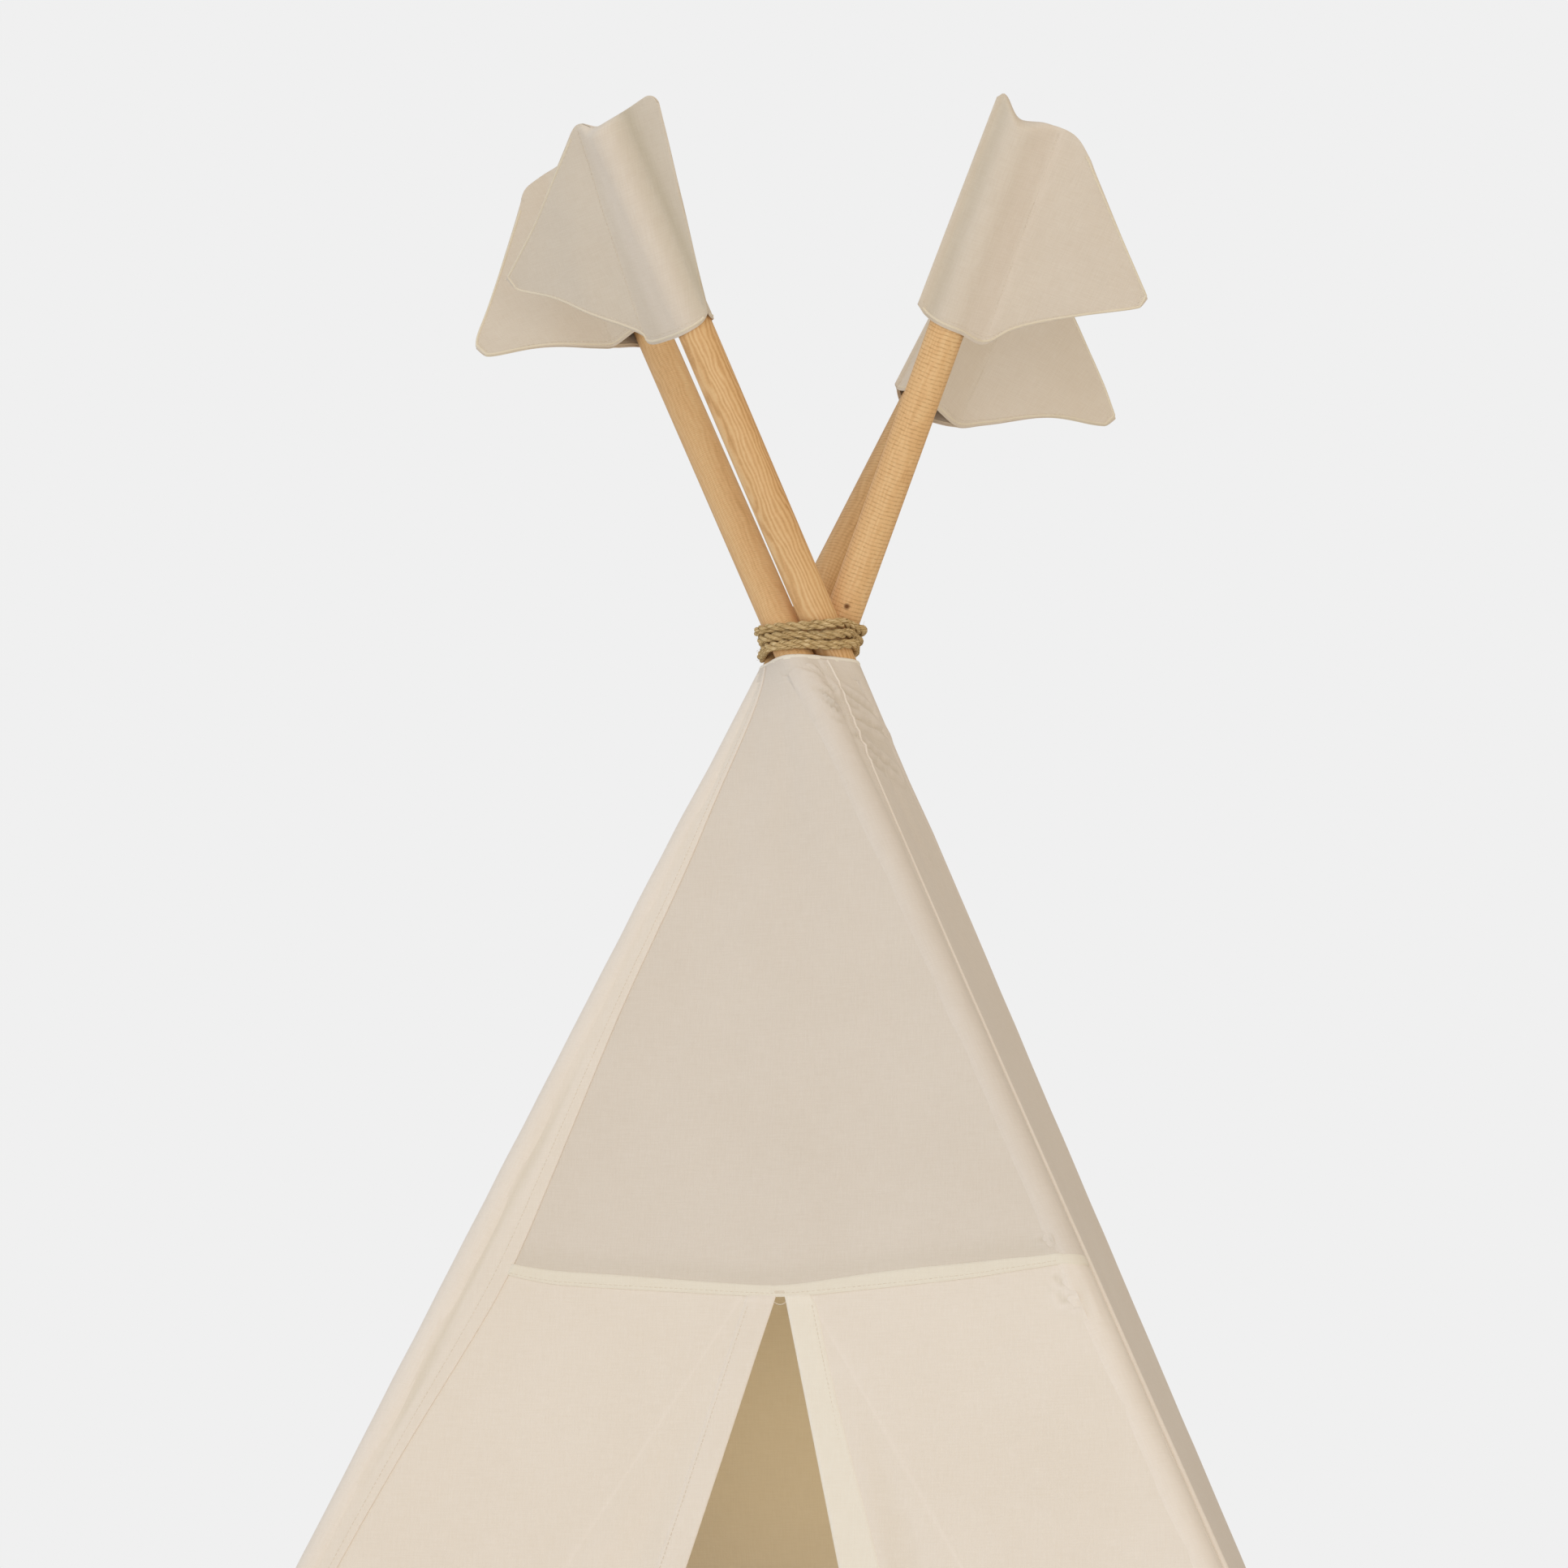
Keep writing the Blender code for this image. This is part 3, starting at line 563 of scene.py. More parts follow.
def sheet_shell(points: Array, outward: Array, cloth: Array, thickness: Array | float, soft: str = "lrtb",
                looped: bool = False) -> Shell:
    """Thicken a grid of cloth into a closed skin with rounded or plain edges.

    Args:
        points: Rows and columns of places on the cloth's middle.
        outward: The outward direction at each place.
        cloth: Each place in metres of cloth.
        thickness: The cloth's thickness, the same all over or for each place.
        soft: Which edges are rounded: left, right, top or bottom, by first letter.
        looped: Whether the last column joins the first.

    Returns:
        The skin.
    """
    rows, columns = points.shape[:2]
    half = (np.broadcast_to(thickness, (rows, columns)) / 2)[..., None]
    number = np.arange(rows * columns).reshape(rows, columns)
    across = np.concatenate([number, number[:, :1]], 1) if looped else number
    quads = np.stack([across[:-1, :-1], across[:-1, 1:], across[1:, 1:], across[1:, :-1]], -1).reshape(-1, 4)
    a, b, c, d = (points.reshape(-1, 3)[quads[:, i]] for i in range(4))
    flipped = np.einsum("ij,ij->i", np.cross(c - a, d - b), outward.reshape(-1, 3)[quads[:, 0]]).sum() < 0
    if flipped:
        quads = quads[:, ::-1]
    back = rows * columns
    faces = [tuple(q) for q in quads.tolist()] + [tuple(q) for q in (quads[:, ::-1] + back).tolist()]

    # A rounded edge is drawn out by half the cloth's thickness
    spread = np.zeros_like(points)
    edges = {"b": (np.s_[0], np.s_[1]), "t": (np.s_[-1], np.s_[-2]),
             "l": (np.s_[:, 0], np.s_[:, 1]), "r": (np.s_[:, -1], np.s_[:, -2])}
    for letter, (edge, inner) in edges.items():
        if letter in soft and not (looped and letter in "lr"):
            spread[edge] += unit(points[edge] - points[inner])
    rims = [np.concatenate([number[0, :], number[1:, -1], number[-1, -2::-1], number[-2:0:-1, 0]]).tolist()]
    if looped:
        rims = [number[0, :].tolist(), number[-1, ::-1].tolist()]
    verts = [(points + outward * half).reshape(-1, 3), (points - outward * half).reshape(-1, 3)]
    places = [cloth.reshape(-1, 2), cloth.reshape(-1, 2)]
    base = 2 * back
    for rim in rims:
        verts.append((points + spread * half).reshape(-1, 3)[rim])
        places.append(cloth.reshape(-1, 2)[rim])
        for k, i in enumerate(rim):
            m = (k + 1) % len(rim)
            upper = (rim[m], i, base + k, base + m)
            lower = (base + m, base + k, back + i, back + rim[m])
            faces += [upper[::-1], lower[::-1]] if flipped else [upper, lower]
        base += len(rim)
    return Shell(np.concatenate(verts), faces, np.concatenate(places))


def ring_faces(rows: int, sides: int, hollow: bool = False) -> list[tuple[int, ...]]:
    """Return the faces of rows of rings.

    Args:
        rows: How many rings there are.
        sides: How many points each has.
        hollow: Whether the last ring joins the first; otherwise both are closed by a cap.

    Returns:
        The faces, as numbers of points.
    """
    number = np.arange(rows * sides).reshape(rows, sides)
    low = number if hollow else number[:-1]
    high = np.roll(number, -1, 0)[:len(low)]
    quads = np.stack([low, np.roll(low, -1, 1), np.roll(high, -1, 1), high], -1).reshape(-1, 4)
    faces = [tuple(q) for q in quads.tolist()]
    return faces if hollow else [*faces, tuple(number[0, ::-1].tolist()), tuple(number[-1].tolist())]


def tube_shell(route: Array, radius: Array | float, sides: int) -> Shell:
    """Make a closed round tube along a route.

    Args:
        route: Places along its middle.
        radius: Its radius, the same all along or for each place.
        sides: How many sides it has.

    Returns:
        The tube, with its length and girth as places of cloth.
    """
    ahead = unit(np.gradient(route, axis=0))
    side = np.cross(ahead[0], (0, 0, 1) if abs(ahead[0][2]) < 0.9 else (1, 0, 0))
    first = np.empty_like(ahead)
    for i, way in enumerate(ahead):
        side = side - way * side.dot(way)
        side = side / np.linalg.norm(side)
        first[i] = side
    second = np.cross(ahead, first)
    turn = np.arange(sides) * TURN / sides
    reach = np.broadcast_to(radius, (len(route),))[:, None]
    ring = first[:, None] * np.cos(turn)[None, :, None] + second[:, None] * np.sin(turn)[None, :, None]
    points = (route[:, None] + ring * reach[..., None]).reshape(-1, 3)
    girth = turn * reach
    cloth = np.stack([np.broadcast_to(run_along(route)[:, None], girth.shape), girth], -1).reshape(-1, 2)
    return Shell(points, ring_faces(len(route), sides), cloth)


def ripple(places: Array, size: float, seed: int) -> Array:
    """Return smooth noise from about -1 to 1.

    Args:
        places: Where, with two or three numbers for each place.
        size: How long a ripple is, in metres.
        seed: Which noise.

    Returns:
        The noise at each place.
    """
    shift = Vector((seed * 7.31, seed * 3.17, seed * 5.71))
    flat = places.reshape(-1, places.shape[-1])
    values = [noise.noise(Vector((*(p / size), 0.0)[:3]) + shift) for p in flat]
    return np.array(values).reshape(places.shape[:-1])


def even_points(path: Array, count: int) -> Array:
    """Return places spread evenly along a path.

    Args:
        path: Places along it.
        count: How many to spread.

    Returns:
        The places.
    """
    run = run_along(path)
    goal = np.linspace(0, run[-1], count)
    return np.stack([np.interp(goal, run, path[:, k]) for k in range(3)], -1)

# The frame of poles


@dataclass(frozen=True)
class PoleLine:
    """One pole's axis, read from the frame: where it passes the lashing and which way it points."""

    corner: Corner
    cross: Vector
    way: Vector

    @classmethod
    def read(cls, corner: Corner) -> "PoleLine":
        """Read a pole's line from the frame's joints.

        Args:
            corner: Where the pole stands.

        Returns:
            The pole's line.
        """
        joints = {joint["name"]: joint for joint in frame["joints"]}
        cross = Vector(joints[f"fold_{corner.value}"]["pos_m"])
        way = Vector(joints[f"slip_flag_{corner.value}"]["axis"]).normalized()
        return cls(corner, cross, way)

    @property
    def body(self) -> str:
        """Return the name of the pole's body."""
        return f"pole_{self.corner.value}"

    @property
    def across(self) -> Vector:
        """Return the level direction square to the pole."""
        return Vector((-self.way.y, self.way.x, 0)).normalized()

    @property
    def outward(self) -> Vector:
        """Return the direction square to the pole that points out and up."""
        return self.way.cross(self.across)

    def at(self, reach: Array) -> Array:
        """Return the points of the axis at distances along it from the lashing."""
        return np.array(self.cross) + np.array(self.way) * np.asarray(reach)[..., None]

    def down_to(self, height: Array) -> Array:
        """Return how far along the axis below the lashing it passes heights."""
        return (self.cross.z - height) / self.way.z

    def floor_reach(self, radius: float, angle: Array) -> Array:
        """Return where lines along the pole, at a radius and angles from its axis, meet the floor."""
        return -(self.cross.z + radius * np.sin(angle) * self.outward.z) / self.way.z

    def span(self, node: str) -> tuple[float, float]:
        """Return the reaches along this pole between which a CAD node lies."""
        reaches = [(vert.co - self.cross).dot(self.way) for vert in frame["nodes"][node].data.vertices]
        return min(reaches), max(reaches)

    def ring(self, radius: Array | float, angle: Array, reach: Array | float) -> Array:
        """Return places at radii, angles and reaches round the axis.

        Args:
            radius: How far from the axis.
            angle: The turn round it, from across to outward.
            reach: How far along it from the lashing.

        Returns:
            The places.
        """
        basis = np.array([self.across, self.outward, self.way])
        local = np.stack(np.broadcast_arrays(radius * np.cos(angle), radius * np.sin(angle), reach), -1)
        return np.array(self.cross) + local @ basis


POLE_RADIUS = 12.5 * MM
POLES = {corner: PoleLine.read(corner) for corner in Corner}
LASHING = sum((pole.cross for pole in POLES.values()), Vector()) / len(POLES)
# Each pole's tint multiplies its wood's colour; the front left pole's darker tint is painted shade, for it
# lies behind the back left pole, away from the light
POLE_LOOKS = {
    Corner.FRONT_LEFT: PoleLook(marks=0.50, marks_pitch=2.6 * MM, figure=0.10, tint="#ebe9e6"),
    Corner.FRONT_RIGHT: PoleLook(marks=0.36, marks_pitch=1.6 * MM, figure=0.10, tint="#f9f7f4"),
    Corner.BACK_RIGHT: PoleLook(marks=0.0, marks_pitch=2.0 * MM, figure=0.26, tint="#f5f0ea"),
    Corner.BACK_LEFT: PoleLook(marks=0.62, marks_pitch=2.8 * MM, figure=0.08, knot=0.033),
}


@dataclass(frozen=True)
class Frame:
    """The four wooden poles, each in two sections that meet inside a steel ferrule."""

    wood: PineWood
    steel: Material
    sides: int = 64
    foot_chamfer: float = 2.5 * MM
    tip_chamfer: float = 6.0 * MM
    tenon: float = POLE_RADIUS - 1.2 * MM
    gap: float = 0.3 * MM
    wall: float = 0.9 * MM
    edge: float = 0.3 * MM

    def lathe(self, name: str, pole: PoleLine, profile: Sequence[tuple[float, float]], material: Material,
              hollow: bool = False) -> Object:
        """Make a turned piece round a pole's axis.

        Args:
            name: The piece's name.
            pole: The pole.
            profile: Radii and reaches, from the foot up; a hollow one goes round its section.
            material: Its finish.
            hollow: Whether the profile closes on itself.

        Returns:
            The piece.
        """
        angle = np.arange(self.sides) * TURN / self.sides
        rings = np.array([pole.ring(radius, angle, reach) for radius, reach in profile])
        faces = ring_faces(len(profile), self.sides, hollow)
        cloth = np.array([(a * radius, reach) for radius, reach in profile for a in angle])
        return make_object(name, Shell(rings.reshape(-1, 3), faces, cloth), material, 28)

    def rounded(self, end: float, sign: int) -> list[tuple[float, float]]:
        """Return the profile of a rounded pole end; sign is 1 at the tip and -1 at the foot.

        Args:
            end: How far along the pole it ends.
            sign: 1 at the tip and -1 at the foot.

        Returns:
            Radii and reaches, from the foot up.
        """
        cut = self.tip_chamfer if sign > 0 else self.foot_chamfer
        points = []
        for turn in (math.radians(degrees) for degrees in (0, 22, 45, 68, 90)):
            points.append((POLE_RADIUS - cut * (1 - math.cos(turn)), end - sign * cut * (1 - math.sin(turn))))
        return points[::sign]

    def build(self) -> None:
        """Make the poles and ferrules and let them stand for their CAD nodes."""
        for number, (corner, pole) in enumerate(POLES.items()):
            wood = self.wood.material(pole, number, POLE_LOOKS[corner])
            low, high = pole.span(f"ferrule_{corner.value}")
            foot, lower_top = pole.span(f"pole_{corner.value}_lower")
            upper_foot, tip = pole.span(f"pole_{corner.value}_upper")
            lower = self.rounded(foot, -1)
            lower += [(POLE_RADIUS, low - self.gap), (self.tenon, low - self.gap), (self.tenon, lower_top)]
            upper = [(self.tenon, upper_foot), (self.tenon, high + self.gap), (POLE_RADIUS, high + self.gap)]
            upper += self.rounded(tip, 1)
            for part, profile in (("lower", lower), ("upper", upper)):
                node = f"pole_{corner.value}_{part}"
                dress(self.lathe(f"{node}_wood", pole, profile, wood), pole.body, [node])
            inner, bevel = POLE_RADIUS - self.wall, POLE_RADIUS - self.edge
            tube = [(inner, low), (bevel, low), (POLE_RADIUS, low + self.edge)]
            tube += [(POLE_RADIUS, high - self.edge), (bevel, high), (inner, high)]
            node = f"ferrule_{corner.value}"
            dress(self.lathe(f"{node}_tube", pole, tube, self.steel, True), pole.body, [node])

# Measures of the cover that the frame doesn't hold, in metres


@dataclass(frozen=True)
class CoverSizes:
    """Real sizes of the sewn cover."""

    cloth: float = 1.0 * MM
    sleeve_outer: float = 14.5 * MM
    snug_outer: float = 13.4 * MM
    snug_cloth: float = 0.5 * MM
    snug_reach: float = 112 * MM
    loose_reach: float = 152 * MM
    sleeve_top_reach: float = 33 * MM
    seam_inset: float = 13.0 * MM
    lap: float = 5.0 * MM
    sag: float = 6.0 * MM
    cloth_top: float = 1233.8 * MM
    hem_foot: float = 1.0 * MM
    hem_height: float = 20 * MM
    door_hem: float = 18 * MM
    hem_growth: float = 0.35
    header_lift: float = 0.75 * MM
    header_cloth: float = 1.3 * MM
    slit_top_half: float = 4.4 * MM
    slit_aside: float = 3.5 * MM
    fold_top: float = 23.5 * MM
    slit_foot_half: float = 208 * MM
    floor_gap: float = 1.5 * MM
    grid: float = 7.0 * MM

    @property
    def offset(self) -> float:
        """Return how far the cloth's middle lies outside the plane of two poles' axes."""
        return self.sleeve_outer - self.cloth / 2

    def loosened(self, down: Array, snug: float, loose: float) -> Array:
        """Return a size at distances along a pole below the lashing: snug near it and loose further down."""
        return np.interp(down, [self.snug_reach, self.loose_reach], [snug, loose])


SIZES = CoverSizes()
SLIT_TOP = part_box("door_hem_left")[1].z

# The front left seam: height, and how far in from the pole's axis, in millimetres
FRONT_SEAM = ((0, 13), (450, 13), (620, 14), (698, 19), (741, 24), (790, 29), (809, 30), (850, 26.5),
              (896, 22.6), (986, 15), (1039, 13.5), (1088, 12.5), (1130, 9), (1169, 8), (1240, 8.5))

# The header over the door: place across, its lower edge above the slit's top, and its height, in millimetres
HEADER_LINE = ((-190, 22, 5.5), (-169, 17.4, 6.4), (-144, 13.4, 8.0), (-99, 10.8, 7.6), (-54, 8.2, 6.6),
               (-9, 5.0, 6.2), (0, 4.6, 6.2), (10, 4.8, 6.8), (40, 7.2, 8.6), (74, 9.6, 9.6),
               (125, 13.8, 8.8), (190, 22, 5.0))

# The soft upright folds of each flap: how far each stands out, its place from the slit's edge and its width,
# in millimetres; and each flap's band of shade: how dark it is, its place from the hem and its width
FLAP_FOLDS = {Side.LEFT: ((-1.9, 31, 11), (1.3, 58, 14)), Side.RIGHT: ((1.9, 26, 9), (-2.2, 46, 12))}
FLAP_SHADE = {Side.LEFT: (0.03, 6, 8), Side.RIGHT: (0.055, 17, 9)}

# The cover's top edge: height, how far its middle lies from the poles' axes, and thickness, in millimetres
COLLAR_LINE = ((-1.0, 13.0, 0.8), (3.0, 13.0, 0.8), (7.0, 13.0, 0.8), (10.0, 13.0, 0.8), (11.0, 13.0, 0.8),
               (11.4, 13.1, 1.1), (11.9, 13.2, 1.3), (12.4, 13.2, 1.3), (12.8, 13.1, 1.1))
COLLAR_ROLL = 10.5 * MM


class WallName(Enum):
    """A side of the cover, with the corners at its left and right as seen from outside."""

    FRONT = ("front", Corner.FRONT_LEFT, Corner.FRONT_RIGHT)
    RIGHT = ("right", Corner.FRONT_RIGHT, Corner.BACK_RIGHT)
    BACK = ("back", Corner.BACK_RIGHT, Corner.BACK_LEFT)
    LEFT = ("left", Corner.BACK_LEFT, Corner.FRONT_LEFT)

    @property
    def word(self) -> str:
        """Return the wall's name as the pieces use it."""
        return self.value[0]

    @property
    def body(self) -> str:
        """Return the name of the wall's body."""
        return f"wall_{self.word}"

    @property
    def squash_axis(self) -> tuple[int, int, int]:
        """Return the direction in which the wall narrows when the frame folds."""
        return (1, 0, 0) if self in (WallName.FRONT, WallName.BACK) else (0, 1, 0)


class Wall:
    """One side of the cover: a surface stretched over two poles, from the floor to the lashing."""

    def __init__(self, name: WallName) -> None:
        """Find the wall's poles and its slope.

        Args:
            name: Which wall it is.
        """
        self.name = name
        self.left, self.right = (POLES[corner] for corner in name.value[1:])
        self.slope = np.array((self.left.way + self.right.way).normalized())

    def axes(self, height: Array) -> tuple[Array, Array, Array, Array]:
        """Return the left axis, the way across, the way out and the width at heights above the floor.

        Args:
            height: Heights above the floor.

        Returns:
            The four of them, for each height.
        """
        start, end = (pole.at(-pole.down_to(height)) for pole in (self.left, self.right))
        width = np.linalg.norm(end - start, axis=-1)
        along = (end - start) / width[..., None]
        return start, along, unit(np.cross(along, self.slope)), width

    def behind(self, height: Array) -> tuple[Array, Array, Array, Array]:
        """Return the same as axes, at the places square behind the cloth at heights."""
        return self.axes(height - SIZES.offset * self.axes(height)[2][..., 2])

    def seam_inset(self, height: Array) -> Array:
        """Return how far in from the left pole's axis the seam lies at heights.

        Args:
            height: Heights above the floor.

        Returns:
            The distance at each height.
        """
        if self.name is not WallName.FRONT:
            return np.full(np.shape(height), SIZES.seam_inset)
        at, inset = np.array(FRONT_SEAM).T * MM
        return soft_bends(height, at, inset, 30 * MM, 9)

    def surface(self, share: Array, height: Array, lift: Array | float = 0.0,
                begin: float | None = None) -> tuple[Array, Array, Array]:
        """Return places on the cloth's middle.

        Args:
            share: Shares of the width, up to the right pole's axis.
            height: Heights above the floor.
            lift: How far outside the cloth's own surface.
            begin: Where share 0 lies, inwards from the left pole's axis; if None, under the seam's lap.

        Returns:
            The places, the outward directions, and each place in metres of cloth.
        """
        start, along, outward, width = self.behind(height)
        edge = self.seam_inset(height) - SIZES.lap if begin is None else begin
        x = edge + (width - edge) * share
        across = np.sin(math.pi * np.clip(x / width, 0, 1))
        sag = -SIZES.sag * across * np.sin(math.pi * height / LASHING.z)
        place = start + along * x[..., None] + outward * (SIZES.offset + sag + lift)[..., None]
        return place, outward, np.stack([x - width / 2, height / self.slope[2]], -1)

    def share_at(self, x: Array, height: Array) -> Array:
        """Return the share of the width at which the front wall has places along X.

        Args:
            x: Places along X.
            height: Heights above the floor.

        Returns:
            The share for each place.
        """
        start, along, _, width = self.behind(height)
        edge = self.seam_inset(height) - SIZES.lap
        return ((x - start[..., 0]) / along[..., 0] - edge) / (width - edge)

    def settled(self, share: Array, height: Array, begin: float | None = None) -> Array:
        """Return how far hung cloth lies outside the plain surface: uneven, creased, snug at the poles.

        Args:
            share: Shares of the width.
            height: Heights above the floor.
            begin: Where share 0 lies, as in surface.

        Returns:
            The distance at each place.
        """
        place, _, cloth = self.surface(share, height, begin=begin)
        width = self.axes(height)[3]
        from_left, from_right = cloth[..., 0] + width / 2, width / 2 - cloth[..., 0]
        calm = smooth_step(from_right, 2 * MM, 40 * MM)
        calm = calm * (0.2 + 0.8 * smooth_step(from_left, 20 * MM, 60 * MM))
        seat = -0.2 * MM * (1 - smooth_step(from_right, 0.0, 4 * MM))
        for pole, gap in ((self.left, from_left), (self.right, from_right)):
            snug = SIZES.loosened(pole.down_to(height), SIZES.snug_outer - SIZES.sleeve_outer, 0)
            seat = seat + snug * (1 - smooth_step(gap, 0.0, 12 * MM))
        seed = 3 + list(WallName).index(self.name)
        return relief(cloth, height, seed) * calm + press_all(place) + seat

    def hung(self, share: Array, height: Array, lift: Array | float = 0.0) -> tuple[Array, Array, Array]:
        """Return the same as surface, for the cloth as it hangs."""
        return self.surface(share, height, self.settled(share, height) + lift)

    def round_right(self, height: Array, turn: Array, radius: float) -> tuple[Array, Array]:
        """Return places round the right pole and their outward directions.

        Args:
            height: Heights above the floor.
            turn: 0 on this wall's face, 1 on the next one's, and past that so many centimetres along it.
            radius: How far from the pole's axis.

        Returns:
            The places and the directions.
        """
        way = np.array(self.right.way)
        after = next(name for name in WallName if name.value[1] is self.right.corner)
        _, along, there, _ = Wall(after).axes(height)
        here, there = (unit(facing - way * (facing @ way)[..., None])
                       for facing in (self.axes(height)[2], there))
        angle = np.arccos(np.clip((here * there).sum(-1), -1, 1))
        part = np.clip(turn, 0, 1)
        outward = unit(here * np.sin((1 - part) * angle)[..., None] + there * np.sin(part * angle)[..., None])
        place = self.right.at(-self.right.down_to(height - outward[..., 2] * radius)) + outward * radius
        return place + along * (10 * MM * np.clip(turn - 1, 0, None))[..., None], outward


WALLS = {name: Wall(name) for name in WallName}
FRONT = WALLS[WallName.FRONT]


def steps(length: float, size: float) -> int:
    """Return how many steps of about a size fit a length."""
    return max(2, int(round(length / size)))


@dataclass(frozen=True)
class Crease:
    """A wrinkle that the cloth shows, as a line through places; all its measures are in millimetres."""

    line: Line
    depth: float = 1.0
    width: float = 3.2

    def press(self, place: Array) -> Array:
        """Return how far the wrinkle moves each place outwards; its two sides swell a little.

        Args:
            place: Places on the cloth.

        Returns:
            The distance at each place.
        """
        best = np.full(place.shape[:-1], np.inf)
        run = np.zeros(place.shape[:-1])
        points = np.array(self.line) * MM
        for k, (a, b) in enumerate(zip(points[:-1], points[1:])):
            way = b - a
            along = np.clip((place - a) @ way / (way @ way), 0, 1)
            far = np.linalg.norm(place - a - along[..., None] * way, axis=-1)
            run = np.where(far < best, (k + along) / (len(points) - 1), run)
            best = np.minimum(best, far)
        off = best / (self.width * MM)
        fade = 0.35 + 0.65 * smooth_step(run, 0.0, 0.3) * (1 - smooth_step(run, 0.75, 1.0) * 0.6)
        hollow, swollen = np.exp(-(off / 0.7) ** 2), np.exp(-((off - 1.25) / 0.6) ** 2)
        return self.depth * MM * fade * (1.5 * swollen - 0.9 * hollow)


CREASES = (
    Crease(((-14, -36, 1231), (-3, -38, 1228), (9, -38, 1222), (19, -35, 1211)), 1.1, 3.0),
    Crease(((2, -41, 1221), (12, -40, 1216), (21, -34, 1209)), 0.9, 2.4),
    Crease(((8, -45, 1209), (17, -43, 1206), (23, -42, 1198)), 1.1, 2.6),
    Crease(((10, -47, 1205), (18, -47, 1199), (25, -45, 1192)), 0.9, 2.2),
    Crease(((16, -48, 1199), (22, -46, 1196), (28, -42, 1190)), 1.1, 2.4),
    Crease(((20, -53, 1189), (26, -52, 1185), (31, -45, 1182)), 1.0, 2.6),
    Crease(((23, -28, 1213), (31, -19, 1208), (46, -2, 1200)), 1.2, 3.2),
    Crease(((30, -33, 1194), (41, -14, 1191), (55, 10, 1187)), 1.2, 3.4),
    Crease(((34, -45, 1177), (47, -22, 1169), (62, 8, 1160)), 1.3, 3.8),
    Crease(((41, -45, 1164), (53, -19, 1156)), 0.7, 4.0),
    Crease(((166, -203, 823), (178, -207, 815)), 0.9, 3.0),
    Crease(((175, -214, 797), (191, -217, 790)), 1.0, 3.2),
    Crease(((178, -219, 785), (200, -222, 776)), 1.1, 3.2),
    Crease(((-30, -45, 1208), (-16, -52, 1196), (-6, -58, 1180)), 0.5, 6.0),
)


def press_all(place: Array) -> Array:
    """Return how far the wrinkles together move each place outwards."""
    return sum((crease.press(place) for crease in CREASES), np.zeros(place.shape[:-1]))


def relief(cloth: Array, height: Array, seed: int) -> Array:
    """Return a wall's unevenness: slow billows, a soft crumple and faint gathers near the lashing.

    Args:
        cloth: Each place in metres of cloth.
        height: Heights above the floor.
        seed: Which unevenness.

    Returns:
        How far each place moves outwards.
    """
    billow = ripple(cloth, 260 * MM, seed) * 2.2 * MM
    crumple = ripple(cloth, 62 * MM, seed + 11) * 0.5 * MM
    down = np.clip(SIZES.cloth_top - height, 0, None)
    pleat = np.sin(cloth[..., 0] / (down + 40 * MM) * 26 + seed) * 0.5 * MM
    pleat = pleat * smooth_step(down, 10 * MM, 50 * MM) * (1 - smooth_step(down, 80 * MM, 300 * MM))
    calm = smooth_step(down, 0.0, 60 * MM)
    return billow * smooth_step(down, 0.05, 0.35) + crumple * smooth_step(height, 0.0, 0.06) * calm + pleat


# Pieces of the cover


@dataclass(frozen=True)
class Door:
    """Where the door's lines lie on the front wall."""

    side: Side

    @staticmethod
    def header_edges(share: Array) -> tuple[Array, Array]:
        """Return the heights of the header's lower and upper edges at shares of the front's width.

        Args:
            share: Shares of the width.

        Returns:
            The lower and the upper heights.
        """
        across = FRONT.surface(share, np.full(share.shape, SLIT_TOP + 10 * MM))[0][..., 0]
        at, low, tall = np.array(HEADER_LINE, float).T * MM
        lower = SLIT_TOP + soft_bends(across, at, low, 10 * MM, 5)
        return lower, lower + soft_bends(across, at, tall, 20 * MM, 5)

    @property
    def rows(self) -> Array:
        """Return the heights of the door's rows of cloth, as a column."""
        return np.linspace(SIZES.floor_gap, SLIT_TOP - 0.6 * MM, steps(0.9, 4 * MM) + 1)[:, None]

    def slit_x(self, height: Array) -> Array:
        """Return where the slit's edge lies along X at heights.

        Args:
            height: Heights above the floor.

        Returns:
            Its place at each height.
        """
        down = (SLIT_TOP - height) / SLIT_TOP
        half = SIZES.slit_top_half + (SIZES.slit_foot_half - SIZES.slit_top_half) * down
        return self.side.value * half + SIZES.slit_aside * np.clip(1 - 4.6 * down, 0, 1)

    def fold_x(self, height: Array) -> Array:
        """Return where the line that the flap folds about lies along X at heights.

        Args:
            height: Heights above the floor.

        Returns:
            Its place at each height.
        """
        low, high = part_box(f"door_flap_{self.side.word}")
        foot = high.x if self.side is Side.RIGHT else low.x
        top = self.side.value * SIZES.fold_top
        return top + (foot - top) * (SLIT_TOP - height) / SLIT_TOP

    def under_header(self, x: Array, height: Array) -> Array:
        """Return heights stretched so that the top row lies just behind the header's lower edge.

        Args:
            x: Places along X, row by row.
            height: The plain heights of the rows.

        Returns:
            A grid of heights.
        """
        low, high = height[0, 0], height[-1, 0]
        share = FRONT.share_at(x[-1:], np.full(x[-1:].shape, high))
        goal = self.header_edges(share)[0] + 0.5 * MM
        return low + (height - low) * (goal - low) / (high - low)

    def swell(self, gap: Array, height: Array) -> Array:
        """Return the flap's soft folds beside its hem, at distances from the slit's edge."""
        folds = sum(tall * bell(gap, at, wide) for tall, at, wide in FLAP_FOLDS[self.side])
        return smooth_step(SLIT_TOP - height, 0.02, 0.24) * folds * MM


